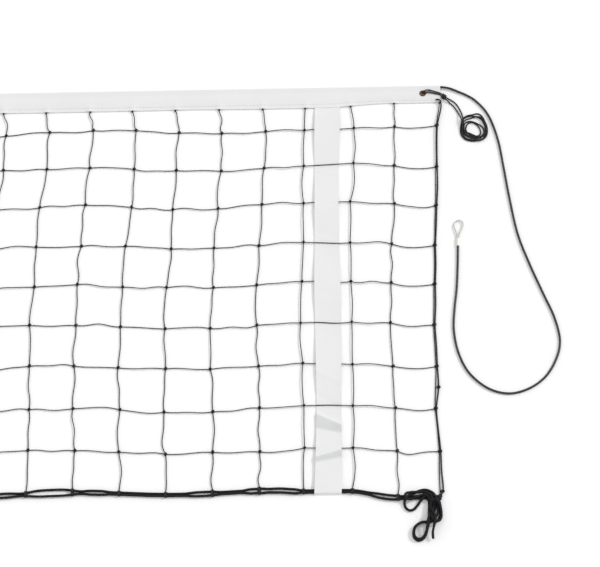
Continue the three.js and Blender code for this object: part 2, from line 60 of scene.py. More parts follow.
# Places that every piece is laid out from, read off the frame's own solids.
BAND_LOW, BAND_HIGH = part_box("top_band")
HEM_Y = BAND_LOW.y
BAND_END_X = BAND_HIGH.x
LINE_LOW, LINE_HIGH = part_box("bottom_line")
LINE_Y = (LINE_LOW.y + LINE_HIGH.y) / 2
ROPE_LOW, ROPE_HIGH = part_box("bottom_rope")
ROPE_Y = (ROPE_LOW.y + ROPE_HIGH.y) / 2
ROPE_Z = (ROPE_LOW.z + ROPE_HIGH.z) / 2
ROPE_END_X = ROPE_HIGH.x
CABLE_LOW, CABLE_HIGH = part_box("head_cable")
CABLE_Y = (CABLE_LOW.y + CABLE_HIGH.y) / 2
CABLE_Z = (CABLE_LOW.z + CABLE_HIGH.z) / 2
EYELET_LOW, EYELET_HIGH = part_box("eyelet_flange_right")
EYELET_X = (EYELET_LOW.x + EYELET_HIGH.x) / 2
EYELET_Y = (EYELET_LOW.y + EYELET_HIGH.y) / 2
TAPE_LOW, TAPE_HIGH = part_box("marker_tape_right")
TAPE_X = (TAPE_LOW.x + TAPE_HIGH.x) / 2
TAPE_WIDTH = TAPE_HIGH.x - TAPE_LOW.x

MESH = 0.1
COLUMNS = 95
ROWS = 9
EDGE_X = COLUMNS * MESH / 2
FIRST_Y = LINE_Y + ROWS * MESH
COLUMN_XS = (np.arange(COLUMNS + 1) - COLUMNS / 2) * MESH
TWINE_Z = 0.00325
SPAN_STEPS = 10
TAPE_THICKNESS = 0.0007
TAPE_CLEAR = 0.0018
EYELET_PUNCH = 0.005


# ------------------------------------------------------------------- colours


def linear(hex_colour):
    """An sRGB hex colour as the linear values that shaders take."""
    channels = [int(hex_colour[i : i + 2], 16) / 255 for i in (1, 3, 5)]
    return [c / 12.92 if c <= 0.04045 else ((c + 0.055) / 1.055) ** 2.4 for c in channels]


def colour_property(name, description, hex_colour):
    return bpy.props.FloatVectorProperty(
        name=name,
        description=description,
        subtype="COLOR",
        min=0,
        max=1,
        default=linear(hex_colour),
    )


def length_property(name, description, default):
    return bpy.props.FloatProperty(
        name=name, description=description, default=default, min=0, unit="LENGTH", precision=5
    )


class NetSizes(bpy.types.PropertyGroup):
    """Sizes of the net's cords and cloth, in metres."""

    twine: length_property("Twine", "Thickness of the netting twine", 0.0021)
    edge: length_property("Edge cord", "Thickness of the cord that binds the net's ends", 0.0037)
    line: length_property("Bottom line", "Thickness of the line along the bottom", 0.0054)
    rope: length_property("Rope", "Thickness of the braided bottom rope", 0.0054)
    tie: length_property("Tie cord", "Thickness of the corner tie cords", 0.0033)
    cable: length_property("Cable", "Thickness of the coated head cable", 0.005)
    slack: length_property("Slack", "How far a cord wanders between two knots", 0.0018)
    lift: length_property("Lift", "How far a cord stands off the ground between knots", 0.0012)
    cloth: length_property("Band cloth", "Thickness of the top band's cloth", 0.0008)
    stitch: length_property("Stitch", "Spacing of the stitches along the band's hem", 0.008)
    seed: bpy.props.IntProperty(name="Seed", description="Seed of the cords' wander", default=7)


class NetColours(bpy.types.PropertyGroup):
    """Colours of the net's materials."""

    band: colour_property("Band", "Coated cloth of the top band", "#EBEBEC")
    tape: colour_property("Tape", "Woven marker tape", "#ECECED")
    # Painted shade: the tilted face of an old fold in the tape is drawn in this darker greenish colour.
    fold: colour_property("Fold", "Dull face of an old fold in the tape", "#BEC5C2")
    thread: colour_property("Thread", "Sewing thread of the hem", "#DCDCDD")
    twine: colour_property("Twine", "Netting twine and tie cords", "#1C1B20")
    rope: colour_property("Rope", "Braided bottom rope", "#161519")
    coating: colour_property("Coating", "Plastic sheath of the cable", "#1A191C")
    wire: colour_property("Wire", "Bare wire of the cable's eyes", "#C9C9C2")
    alloy: colour_property("Ferrule", "Pressed sleeve on the cable", "#E2E1DA")
    brass: colour_property("Brass", "Eyelets, with a brown age on them", "#604A35")
    ground: colour_property("Ground", "Studio floor", "#FCFCFC")


# ----------------------------------------------------------------- materials


def add_node(material, kind, inputs=None, **settings):
    """Adds a node with its settings. An input is a value, or the socket that feeds it."""
    node = material.node_tree.nodes.new(kind)
    for name, value in settings.items():
        setattr(node, name, value)
    for key, value in (inputs or {}).items():
        if isinstance(value, bpy.types.NodeSocket):
            material.node_tree.links.new(value, node.inputs[key])
        else:
            node.inputs[key].default_value = value
    return node


def arithmetic(material, operation, *values):
    """The result of a calculation on numbers or sockets."""
    inputs = dict(enumerate(values))
    return add_node(material, "ShaderNodeMath", inputs, operation=operation).outputs[0]


def start_material(name, roughness, metallic=0.0, specular=0.5):
    """An empty material with its main shader, and the shader's node. Loose
    fibres shade one another, so cords shine less than a solid would."""
    material = bpy.data.materials.new(name)
    material.use_nodes = True
    shader = material.node_tree.nodes["Principled BSDF"]
    shader.inputs["Roughness"].default_value = roughness
    shader.inputs["Metallic"].default_value = metallic
    shader.inputs["Specular IOR Level"].default_value = specular
    return material, shader


def shade(colour, factor):
    """The same colour, lighter or darker by a factor."""
    return [min(1.0, c * factor) for c in colour[:3]] + [1.0]


def mixed(material, fac, one, other):
    """A colour that runs from one to the other."""
    return add_node(material, "ShaderNodeMix", {0: fac, 6: one, 7: other}, data_type="RGBA").outputs[2]


def tinted(material, shader, fac, dark, light):
    """Feeds the base colour from a pattern that runs from dark to light."""
    material.node_tree.links.new(mixed(material, fac, dark, light), shader.inputs["Base Color"])


def raised(material, shader, height, strength, distance):
    """Feeds the normal from a height pattern; distance is the relief in metres."""
    bump = add_node(
        material,
        "ShaderNodeBump",
        {"Height": height, "Strength": strength, "Distance": distance},
    )
    material.node_tree.links.new(bump.outputs["Normal"], shader.inputs["Normal"])


def cord_strands(material, strands, lay):
    """Ridges of strands laid round a cord, from its own UV: u is the share of
    the way round, v the way along in metres, and lay is one full turn."""
    place = add_node(material, "ShaderNodeTexCoord").outputs["UV"]
    parts = add_node(material, "ShaderNodeSeparateXYZ", {0: place})
    turn = arithmetic(material, "MULTIPLY_ADD", parts.outputs["Y"], 1 / lay, parts.outputs["X"])
    angle = arithmetic(material, "MULTIPLY", turn, strands * math.tau)
    return arithmetic(material, "MULTIPLY_ADD", arithmetic(material, "SINE", angle), 0.5, 0.5)


def object_noise(material, size, detail=2.0):
    """Soft noise over the piece; size is its largest patch in metres."""
    place = add_node(material, "ShaderNodeTexCoord").outputs["Object"]
    noise = add_node(
        material,
        "ShaderNodeTexNoise",
        {"Vector": place, "Scale": 1 / size, "Detail": detail, "Roughness": 0.55},
    )
    return noise.outputs["Fac"]


def knotted_twine(colours):
    """Twisted polyethylene twine, three strands: slightly shiny dark filaments,
    with paler ridges where the strands catch the light."""
    material, shader = start_material("twisted_polyethylene_twine", 0.62, specular=0.32)
    strands = cord_strands(material, 3, 0.009)
    tinted(material, shader, strands, shade(colours.twine, 0.6), shade(colours.twine, 1.7))
    raised(material, shader, strands, 0.6, 0.0004)
    return material


def braided_rope(colours):
    """Braided polypropylene rope: near-black yarns that cross in a herringbone,
    matt, with a painted highlight on the crowns of the yarns and painted
    shade between them."""
    material, shader = start_material("braided_polypropylene_rope", 0.7, specular=0.2)
    one = cord_strands(material, 4, 0.016)
    other = cord_strands(material, 4, -0.016)
    crowns = arithmetic(material, "MAXIMUM", one, other)
    # Painted highlight on the yarns' crowns, painted shade in the hollows between them.
    tinted(material, shader, crowns, shade(colours.rope, 0.5), shade(colours.rope, 1.5))
    raised(material, shader, crowns, 0.7, 0.0005)
    return material


def cable_sheath(colours):
    """Extruded PVC sheath over steel cable: smooth, black and satin, with fine
    scuffs along it."""
    material, shader = start_material("extruded_pvc_sheath", 0.38)
    scuffs = object_noise(material, 0.012, 6)
    tinted(material, shader, scuffs, shade(colours.coating, 0.8), shade(colours.coating, 1.5))
    raised(material, shader, scuffs, 0.2, 0.0001)
    return material


def bare_wire(colours):
    """Galvanised laid wire: bright grey strands round the cable's core."""
    material, shader = start_material("galvanised_laid_wire", 0.5, 1.0)
    strands = cord_strands(material, 6, 0.02)
    # Painted shade in the grooves between the strands, lighter on their crowns.
    tinted(material, shader, strands, shade(colours.wire, 0.72), shade(colours.wire, 1.1))
    raised(material, shader, strands, 0.4, 0.0002)
    return material


def pressed_alloy(colours):
    """Pressed aluminium sleeve: pale, dull metal with fine press marks."""
    material, shader = start_material("pressed_aluminium_sleeve", 0.6, 1.0)
    marks = object_noise(material, 0.0015, 4)
    tinted(material, shader, marks, shade(colours.alloy, 0.85), shade(colours.alloy, 1.1))
    raised(material, shader, marks, 0.25, 0.0002)
    return material


def aged_brass(colours):
    """Stamped brass with a brown age: soft patches over the whole ring that run
    from dark age spots to bright painted highlights."""
    material, shader = start_material("stamped_aged_brass", 0.36, 1.0)
    age_spots_and_highlights = object_noise(material, 0.004, 5)
    # Dark patches are age spots; the bright ones are painted highlights.
    tinted(material, shader, age_spots_and_highlights, shade(colours.brass, 0.2), shade(colours.brass, 2.2))
    raised(material, shader, age_spots_and_highlights, 0.2, 0.0002)
    return material


def weave_height(material, across, along):
    """Threads of a plain weave from the cloth's own UV in metres: each thread
    is as wide as given, and warp and weft stand up in turn."""
    place = add_node(material, "ShaderNodeTexCoord").outputs["UV"]
    parts = add_node(material, "ShaderNodeSeparateXYZ", {0: place})
    waves = []
    for socket, pitch in (("X", across), ("Y", along)):
        angle = arithmetic(material, "MULTIPLY", parts.outputs[socket], math.pi / pitch)
        waves.append(arithmetic(material, "SINE", angle))
    crossed = arithmetic(material, "MULTIPLY", *waves)
    return arithmetic(material, "MULTIPLY_ADD", crossed, 0.5, 0.5)


def coated_cloth(colours):
    """Coated polyester cloth: white, faintly mottled and a little glossy, with
    its weave showing through. The threads are drawn 1.6 mm wide, which is
    coarser than the real 0.5 mm, so that they can be seen at all."""
    material, shader = start_material("coated_polyester_cloth", 0.55)
    mottle = object_noise(material, 0.16, 3)
    tinted(material, shader, mottle, shade(colours.band, 0.965), shade(colours.band, 1.03))
    raised(material, shader, weave_height(material, 0.0016, 0.0016), 0.25, 0.0002)
    return material


def woven_tape(colours):
    """Woven polyester tape: matt white with a soft sheen, and painted shade,
    greyish green, on the tilted faces of its old folds. Its ribs are drawn
    2 mm apart, coarser than the real 1 mm, so that they show."""
    material, shader = start_material("woven_polyester_tape", 0.85)
    mottle = object_noise(material, 0.09, 4)
    cloth = mixed(material, mottle, shade(colours.tape, 0.97), shade(colours.tape, 1.03))
    # The fold attribute is the mask of painted shade on the folds' tilted faces, broken up by the mottle.
    fold = add_node(material, "ShaderNodeAttribute", attribute_name="fold").outputs["Fac"]
    fold_shade = arithmetic(material, "MULTIPLY", fold, mottle)
    cloth_with_fold_shade = mixed(material, fold_shade, cloth, shade(colours.fold, 1))
    material.node_tree.links.new(cloth_with_fold_shade, shader.inputs["Base Color"])
    raised(material, shader, weave_height(material, 0.001, 0.002), 0.3, 0.0003)
    return material


def sewing_thread(colours):
    """Spun polyester sewing thread: white, matt, two plies."""
    material, shader = start_material("spun_polyester_thread", 0.8)
    plies = cord_strands(material, 2, 0.002)
    # Painted shade in the groove between the two plies.
    tinted(material, shader, plies, shade(colours.thread, 0.85), shade(colours.thread, 1.0))
    return material


FINISHES = {
    "twine": knotted_twine,
    "rope": braided_rope,
    "coating": cable_sheath,
    "wire": bare_wire,
    "alloy": pressed_alloy,
    "brass": aged_brass,
    "band": coated_cloth,
    "tape": woven_tape,
    "thread": sewing_thread,
}
made_finishes = {}


def finish_of(kind):
    """The material of that kind, made the first time it is asked for."""
    if kind not in made_finishes:
        made_finishes[kind] = FINISHES[kind](bpy.context.scene.net_colours)
    return made_finishes[kind]


# ------------------------------------------------------------- cords and cloth


def curve_through(points, step):
    """A smooth line through points given in millimetres, as points in metres
    about a step apart. It is a centripetal Catmull-Rom curve."""
    knots = np.array(points, float) * MM
    knots = np.vstack([2 * knots[0] - knots[1], knots, 2 * knots[-1] - knots[-2]])
    pieces = []
    for i in range(1, len(knots) - 2):
        p = knots[i - 1 : i + 3]
        gaps = np.sqrt(np.maximum(np.linalg.norm(np.diff(p, axis=0), axis=1), 1e-9))
        t = np.concatenate([[0], np.cumsum(gaps)])
        at = np.linspace(t[1], t[2], 24, endpoint=False)[:, None]
        a = [(t[k + 1] - at) / (t[k + 1] - t[k]) * p[k] + (at - t[k]) / (t[k + 1] - t[k]) * p[k + 1]
             for k in range(3)]
        b = [(t[k + 2] - at) / (t[k + 2] - t[k]) * a[k] + (at - t[k]) / (t[k + 2] - t[k]) * a[k + 1]
             for k in range(2)]
        pieces.append((t[2] - at) / (t[2] - t[1]) * b[0] + (at - t[1]) / (t[2] - t[1]) * b[1])
    pieces.append(knots[-2][None])
    return even(np.vstack(pieces), step)


def even(line, step):
    """The same line with its points about a step apart."""
    along = np.concatenate([[0], np.cumsum(np.linalg.norm(np.diff(line, axis=0), axis=1))])
    at = np.linspace(0, along[-1], max(3, round(along[-1] / step) + 1))
    return np.stack([np.interp(at, along, line[:, k]) for k in range(3)], axis=1)


def length_of(line):
    return float(np.linalg.norm(np.diff(line, axis=0), axis=1).sum())


def at_rest(points, rest):
    """Points in millimetres, each at its own height or else at rest."""
    return [tuple(p) if len(p) == 3 else (*p, rest) for p in points]


def hump(heights, step, slope=0.3):
    """The lowest line above the heights that is never steeper than slope."""
    heights = heights.copy()
    for i in range(1, len(heights)):
        heights[i] = max(heights[i], heights[i - 1] - slope * step)
    for i in range(len(heights) - 2, -1, -1):
        heights[i] = max(heights[i], heights[i + 1] - slope * step)
    return heights


def settled(line, laid, thickness):
    """The same line, raised in long low humps where it lies on the cords laid
    before it or on its own earlier turns."""
    line = line.copy()
    step = length_of(line) / (len(line) - 1)
    touch = thickness * 0.8
    order = np.arange(len(line))
    own = order[:, None] - order[None] > 2.5 * thickness / step
    under = np.hstack([np.ones((len(line), len(laid)), bool), own])
    for _ in range(12):
        others = np.vstack([laid, line])
        apart = np.linalg.norm(line[:, None, :2] - others[None, :, :2], axis=2)
        top = others[None, :, 2] + np.sqrt(np.maximum(touch * touch - apart * apart, 0))
        raised_to = np.where(under & (apart < touch), top, 0).max(axis=1)
        heights = hump(np.maximum(line[:, 2], raised_to), step)
        if np.allclose(heights, line[:, 2], atol=1e-5):
            break
        line[:, 2] = heights
    return line


def mirrored(points, side):
    """Points of the right-hand end, or the same on the left-hand one."""
    return [(side * x, y, z) for x, y, z in points]


def laid_relief(strands, lay, depth):
    """Section of a laid cord: strands that stand out and turn round it."""
    def relief(angle, along):
        return 1 - depth * (0.5 + 0.5 * np.cos(strands * (angle - math.tau * along / lay)))
    return relief


def braided_relief(yarns, lay, depth):
    """Section of a braided cord: yarns that cross both ways round it."""
    def relief(angle, along):
        one = np.cos(yarns * (angle - math.tau * along / lay))
        other = np.cos(yarns * (angle + math.tau * along / lay))
        return 1 - depth * (0.5 - 0.5 * np.maximum(one, other))
    return relief


class CordMesh:
    """Cords swept into one mesh. Its UV map holds the share of the way round
    each cord, and the way along it in metres."""

    def __init__(self):
        self.points = []
        self.faces = []
        self.uvs = []
        self.count = 0

    def sweep(self, line, radius, sides=8, relief=None, rounded=True, flat=False):
        """Sweeps a round section along a line; flat keeps one side up."""
        line = np.asarray(line, float)
        gaps = np.linalg.norm(np.diff(line, axis=0), axis=1)
        along = np.concatenate([[0], np.cumsum(gaps)])
        tangents = np.gradient(line, axis=0)
        tangents /= np.linalg.norm(tangents, axis=1)[:, None]
        across = self.flat_frames(tangents) if flat else self.carried_frames(tangents)
        upward = np.cross(tangents, across)
        angles = np.arange(sides) * math.tau / sides
        reach = np.full((len(line), sides), radius)
        if relief:
            reach = reach * relief(angles[None], along[:, None])
        rings = (
            line[:, None]
            + (reach * np.cos(angles))[..., None] * across[:, None]
            + (reach * np.sin(angles))[..., None] * upward[:, None]
        )
        rounding = radius * 0.6 if rounded else 0.0
        tips = (line[0] - tangents[0] * rounding, line[-1] + tangents[-1] * rounding)
        self.add_rings(rings, along, tips, radius)

    @staticmethod
    def flat_frames(tangents):
        across = np.cross(tangents, [0.0, 0.0, 1.0])
        return across / np.linalg.norm(across, axis=1)[:, None]

    @staticmethod
    def carried_frames(tangents):
        """Frames that turn no more than the line itself does."""
        first = np.cross(tangents[0], [0.0, 0.0, 1.0])
        if np.linalg.norm(first) < 0.1:
            first = np.cross(tangents[0], [0.0, 1.0, 0.0])
        frames = [first / np.linalg.norm(first)]
        for tangent in tangents[1:]:
            carried = frames[-1] - tangent * (frames[-1] @ tangent)
            frames.append(carried / np.linalg.norm(carried))
        return np.array(frames)

    def add_rings(self, rings, along, tips, radius):
        """Joins rings of points into a closed tube with a point at each tip."""
        count, sides = rings.shape[:2]
        start = self.count
        ring = start + np.arange(count * sides).reshape(count, sides)
        after = np.roll(ring, -1, axis=1)
        quads = np.stack([ring[:-1], ring[1:], after[1:], after[:-1]], axis=-1).reshape(-1, 4)
        self.faces.extend(quads.tolist())
        u = np.arange(sides) / sides
        for i in range(count - 1):
            low, high = along[i], along[i + 1]
            for k in range(sides):
                end = u[k] + 1 / sides
                self.uvs.extend(((u[k], low), (u[k], high), (end, high), (end, low)))
        first_tip = start + count * sides
        for tip, edge, place in ((first_tip, ring[0], along[0]), (first_tip + 1, ring[-1], along[-1])):
            beside = np.roll(edge, -1)
            for k in range(sides):
                corners = (edge[k], beside[k]) if tip == first_tip else (beside[k], edge[k])
                self.faces.append([int(corners[0]), int(corners[1]), int(tip)])
                self.uvs.extend(((u[k], place), (u[k], place), (u[k], place + radius)))
        self.points.append(rings.reshape(-1, 3))
        self.points.append(np.array(tips))
        self.count += count * sides + 2

    def make(self, name, kind, slot, body="net"):
        """Makes the piece: a smooth mesh with its material, on its body."""
        mesh = bpy.data.meshes.new(name)
        mesh.from_pydata(np.vstack(self.points).tolist(), [], self.faces)
        set_uvs(mesh, self.uvs)
        mesh.shade_smooth()
        return place_piece(name, mesh, kind, body)


def set_uvs(mesh, uvs):
    layer = mesh.uv_layers.new(name="UVMap")
    layer.data.foreach_set("uv", np.array(uvs, np.float32).ravel())


def dressed(piece, kind, body):
    """Gives a piece its material, on the body that it rides on."""
    piece.data.materials.append(finish_of(kind))
    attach(piece, body)
    return piece


def place_piece(name, mesh, kind, body="net"):
    """Links a finished mesh as a piece that rides on a body."""
    piece = bpy.data.objects.new(name, mesh)
    bpy.context.scene.collection.objects.link(piece)
    return dressed(piece, kind, body)


def deselect_all():
    if bpy.context.object and bpy.context.object.mode != "OBJECT":
        bpy.ops.object.mode_set(mode="OBJECT")
    bpy.ops.object.select_all(action="DESELECT")


def turned_piece(name, rings, centre, axis, kind, body="net", sides=32, ring_shut=False):
    """A body of oval rings: a disc or circle is extruded along its axis and
    resized through the rings, each (place along, half width, half depth).
    ring_shut is for an open ring, whose last rim meets its first."""
    deselect_all()
    turn = (math.pi / 2, 0, 0) if axis.y else (0, 0, 0)
    place, width, depth = rings[0]
    bpy.ops.mesh.primitive_circle_add(
        vertices=sides,
        radius=width,
        fill_type="NOTHING" if ring_shut else "NGON",
        location=centre + axis * place,
        rotation=turn,
    )
    bpy.ops.object.mode_set(mode="EDIT")
    bpy.ops.mesh.select_all(action="SELECT")
    resize_ring(axis, depth / width, 1.0, centre + axis * place)
    for (old_place, old_width, old_depth), (place, width, depth) in zip(rings, rings[1:]):
        bpy.ops.mesh.extrude_region_move(
            TRANSFORM_OT_translate={"value": axis * (place - old_place)}
        )
        resize_ring(axis, depth / old_depth, width / old_width, centre + axis * place)
    bpy.ops.mesh.select_all(action="SELECT")
    if ring_shut:
        bpy.ops.mesh.remove_doubles(threshold=1e-6)
    bpy.ops.mesh.normals_make_consistent(inside=False)
    bpy.ops.object.mode_set(mode="OBJECT")
    bpy.ops.object.transform_apply(location=True, rotation=True, scale=True)
    bpy.ops.object.shade_smooth_by_angle(angle=math.radians(40))
    piece = bpy.context.object
    piece.name = name
    piece.data.name = name
    return dressed(piece, kind, body)


def resize_ring(axis, depth, width, centre):
    """Resizes the selected ring about its centre: across in x, and through."""
    value = (width, 1, depth) if axis.y else (width, depth, 1)
    bpy.ops.transform.resize(value=value, center_override=centre)


def sheet_grid(name, rows, widths_and_lengths, holes=()):
    """A cloth's middle surface from rows of points, all of one length. The
    UV map is in metres. Cells whose place is in holes are left out."""
    rows = np.array(rows)
    count, across = rows.shape[:2]
    u, v = widths_and_lengths
    mesh = bpy.data.meshes.new(name)
    faces, uvs = [], []
    for i in range(count - 1):
        for k in range(across - 1):
            if (i, k) in holes:
                continue
            at = i * across + k
            faces.append((at, at + 1, at + across + 1, at + across))
            uvs.extend(((u[i], v[k]), (u[i], v[k + 1]), (u[i + 1], v[k + 1]), (u[i + 1], v[k])))
    mesh.from_pydata(rows.reshape(-1, 3).tolist(), [], faces)
    set_uvs(mesh, uvs)
    return mesh


def thicken(piece, thickness):
    """Gives a sheet its thickness, half to each side of its middle surface."""
    deselect_all()
    bpy.context.view_layer.objects.active = piece
    piece.select_set(True)
    bpy.ops.object.mode_set(mode="EDIT")
    bpy.ops.mesh.select_all(action="SELECT")
    bpy.ops.mesh.delete_loose()
    bpy.ops.mesh.select_all(action="SELECT")
    bpy.ops.mesh.normals_make_consistent(inside=False)
    bpy.ops.object.mode_set(mode="OBJECT")
    solid = piece.modifiers.new("Thickness", "SOLIDIFY")
    solid.thickness = thickness
    solid.offset = 0
    bpy.ops.object.modifier_apply(modifier="Thickness")
    bpy.ops.object.shade_smooth_by_angle(angle=math.radians(50))


# --------------------------------------------------- how the net lies spread


def swell(x, y):
    """How far the whole netting has drifted sideways and lengthways, in
    metres, where it was spread by hand: long soft waves, and an edge that is
    drawn in between its corners."""
    down = np.clip((FIRST_Y - y) / (ROWS * MESH), -0.06, 1)
    inset = EDGE_X - np.abs(x)
    drawn_in = 0.0125 * np.sin(math.pi * np.clip((0.43 - y) / 0.98, 0, 1)) ** 0.6
    sideways = (0.0025 + 0.0075 * np.cos(math.tau * down)) * (1 - np.exp(-inset / 0.12))
    sideways -= drawn_in * np.exp(-inset / 0.07)
    held = np.clip((HEM_Y - y) / 0.06, 0, 1)
    wave = -0.0065 * np.cos(math.tau * (np.abs(x) - 4.21) / 0.58)
    wave -= 0.007 * np.exp(-(((np.abs(x) - 4.65) / 0.06) ** 2)) * smooth((-0.1 - y) / 0.3)
    above_line = np.clip((y - LINE_Y) / 0.12, 0, 1)
    first_row = np.clip((y - 0.3) / 0.1, 0, 1)
    wave -= 0.01 * np.exp(-(((np.abs(x) - 4.46) / 0.14) ** 2)) * first_row
    drawn_up = 0.7 * hem_rise(x) * first_row
    return np.sign(x) * sideways * held, wave * held * above_line + drawn_up


def tape_drift(y):
    """How far a marker tape lies off its straight place, in metres."""
    down = np.clip((FIRST_Y - y) / MESH, -0.5, 9.0)
    return 0.0025 - 0.0045 * np.cos(math.pi * (down - 1) / 6.7)


def beside_tape(x):
    """Whether a column stands next to a marker tape."""
    return np.abs(np.abs(x) - TAPE_X) < MESH * 0.6


def smooth(t):
    """Runs from 0 to 1 with soft ends."""
    t = np.clip(t, 0, 1)
    return t * t * (3 - 2 * t)


def hem_rise(x):
    """How far the band's hem is turned up towards its ends."""
    return 0.009 * smooth((np.abs(x) - 4.49) / 0.15)


# Where the line and rope stand apart near each end: place, reach and gap.
EYES = ((4.63, 0.03, 0.0045), (4.42, 0.05, 0.0045), (4.352, 0.022, 0.005), (4.24, 0.03, 0.0045),
        (4.01, 0.025, 0.004), (3.915, 0.05, 0.0095), (3.8, 0.04, 0.0045))


def bottom_shift(x):
    """How far the bottom line and rope have drifted up towards the net. They
    lie straight where a tape can slide on them, and sag by the ends."""
    x = np.abs(x)
    wave = 0.005 + 0.0038 * np.cos(math.tau * (x - 4.4) / 0.44)
    level = smooth((x - 4.4) / 0.05)
    return wave * (1 - level) + 0.006 * level - 0.016 * smooth((x - 4.55) / 0.1)


def line_gap(x):
    """Gap between the bottom line and rope: long narrow eyes."""
    x = np.abs(x)
    gap = 0.0025 * np.sin(x * 23) ** 4 * np.sin(x * 3.1) ** 2 * (x < 3.75)
    for place, reach, wide in EYES:
        gap = gap + wide * np.exp(-(((x - place) / reach) ** 4))
    return gap * smooth((np.abs(x - TAPE_X) - 0.045) / 0.02)


def line_y(x):
    return LINE_Y + bottom_shift(x) + 0.55 * line_gap(x)


def rope_y(x):
    return ROPE_Y + bottom_shift(x) - 0.45 * line_gap(x)


class Spread:
    """Where each knot lies once the net is spread, and the cords between."""

    def __init__(self, sizes):
        self.sizes = sizes
        self.random = np.random.default_rng(sizes.seed)
        self.columns = COLUMN_XS
        self.knots = np.zeros((COLUMNS + 1, ROWS, 3))
        for k in range(ROWS):
            self.knots[:, k, 0] = self.columns
            self.knots[:, k, 1] = FIRST_Y - k * MESH
        stray = self.random.normal(0, 0.0019, (COLUMNS + 1, ROWS, 2))
        dx, dy = swell(self.knots[..., 0], self.knots[..., 1])
        dx = self.clear_of_tape(dx + stray[..., 0])
        self.knots[..., 0] += dx
        self.knots[..., 1] += dy + stray[..., 1]
        rise = self.random.uniform(0, 0.0006, (COLUMNS + 1, ROWS))
        self.knots[..., 2] = np.where(beside_tape(self.columns)[:, None], TWINE_Z, 0.0017 + rise)

    def clear_of_tape(self, dx):
        """Keeps the columns beside a tape as far from it as it can slide."""
        side = np.sign(self.columns)[:, None]
        aside = self.columns[:, None] - side * TAPE_X
        drift = tape_drift(self.knots[..., 1]) * side
        beside = beside_tape(self.columns)[:, None]
        dx = np.where(beside & (aside > 0), np.maximum(dx, drift + TAPE_CLEAR), dx)
        return np.where(beside & (aside < 0), np.minimum(dx, drift - TAPE_CLEAR), dx)


    def strand(self, ends, calm=(), ease=0.25, away=0, sag=()):
        """A cord drawn from knot to knot. Between two knots it bows, wavers and
        lifts a little; in a calm span it lies flat and strays by the ease as
        much, and in a sagging one it hangs back. Where away is 1 or -1 it only
        bows to that side of x."""
        t = np.arange(SPAN_STEPS) / SPAN_STEPS
        line = []
        for i, (a, b) in enumerate(zip(ends, ends[1:])):
            along = b - a
            across = np.array([-along[1], along[0], 0]) / np.linalg.norm(along)
            size = self.sizes.slack * (ease if i in calm else 1)
            bow, first, second = self.random.normal(0, 1, 3) * size * (1.1, 0.6, 0.4)
            if i in sag:
                bow = 0.4 * bow - 0.0065
            if away:
                bow, first, second = abs(bow) * away * np.sign(across[0]), first * 0.3, second * 0.3
            aside = bow * np.sin(math.pi * t)
            aside += first * np.sin(2 * math.pi * t) + second * np.sin(3 * math.pi * t)
            rise = self.random.uniform(0.3, 1.2) * self.sizes.lift * (0 if i in calm else 1)
            piece = a + t[:, None] * along + aside[:, None] * across
            piece[:, 2] += rise * np.sin(math.pi * t) ** 2
            line.append(piece)
        line.append(ends[-1][None])
        return np.vstack(line)


def knot_loop(size, turn, lean):
    """One round turn of twine drawn tight over a crossing: a few-sided loop."""
    t = np.arange(8) / 7
    angle = math.tau * (t * 1.08)
    loop = np.stack(
        [np.cos(angle) * size, np.sin(angle) * size * 0.72, np.sin(angle + lean) * size * 0.42],
        axis=1,
    )
    c, s = math.cos(turn), math.sin(turn)
    return loop @ np.array([[c, s, 0], [-s, c, 0], [0, 0, 1]])


# ----------------------------------------------------------------- operators


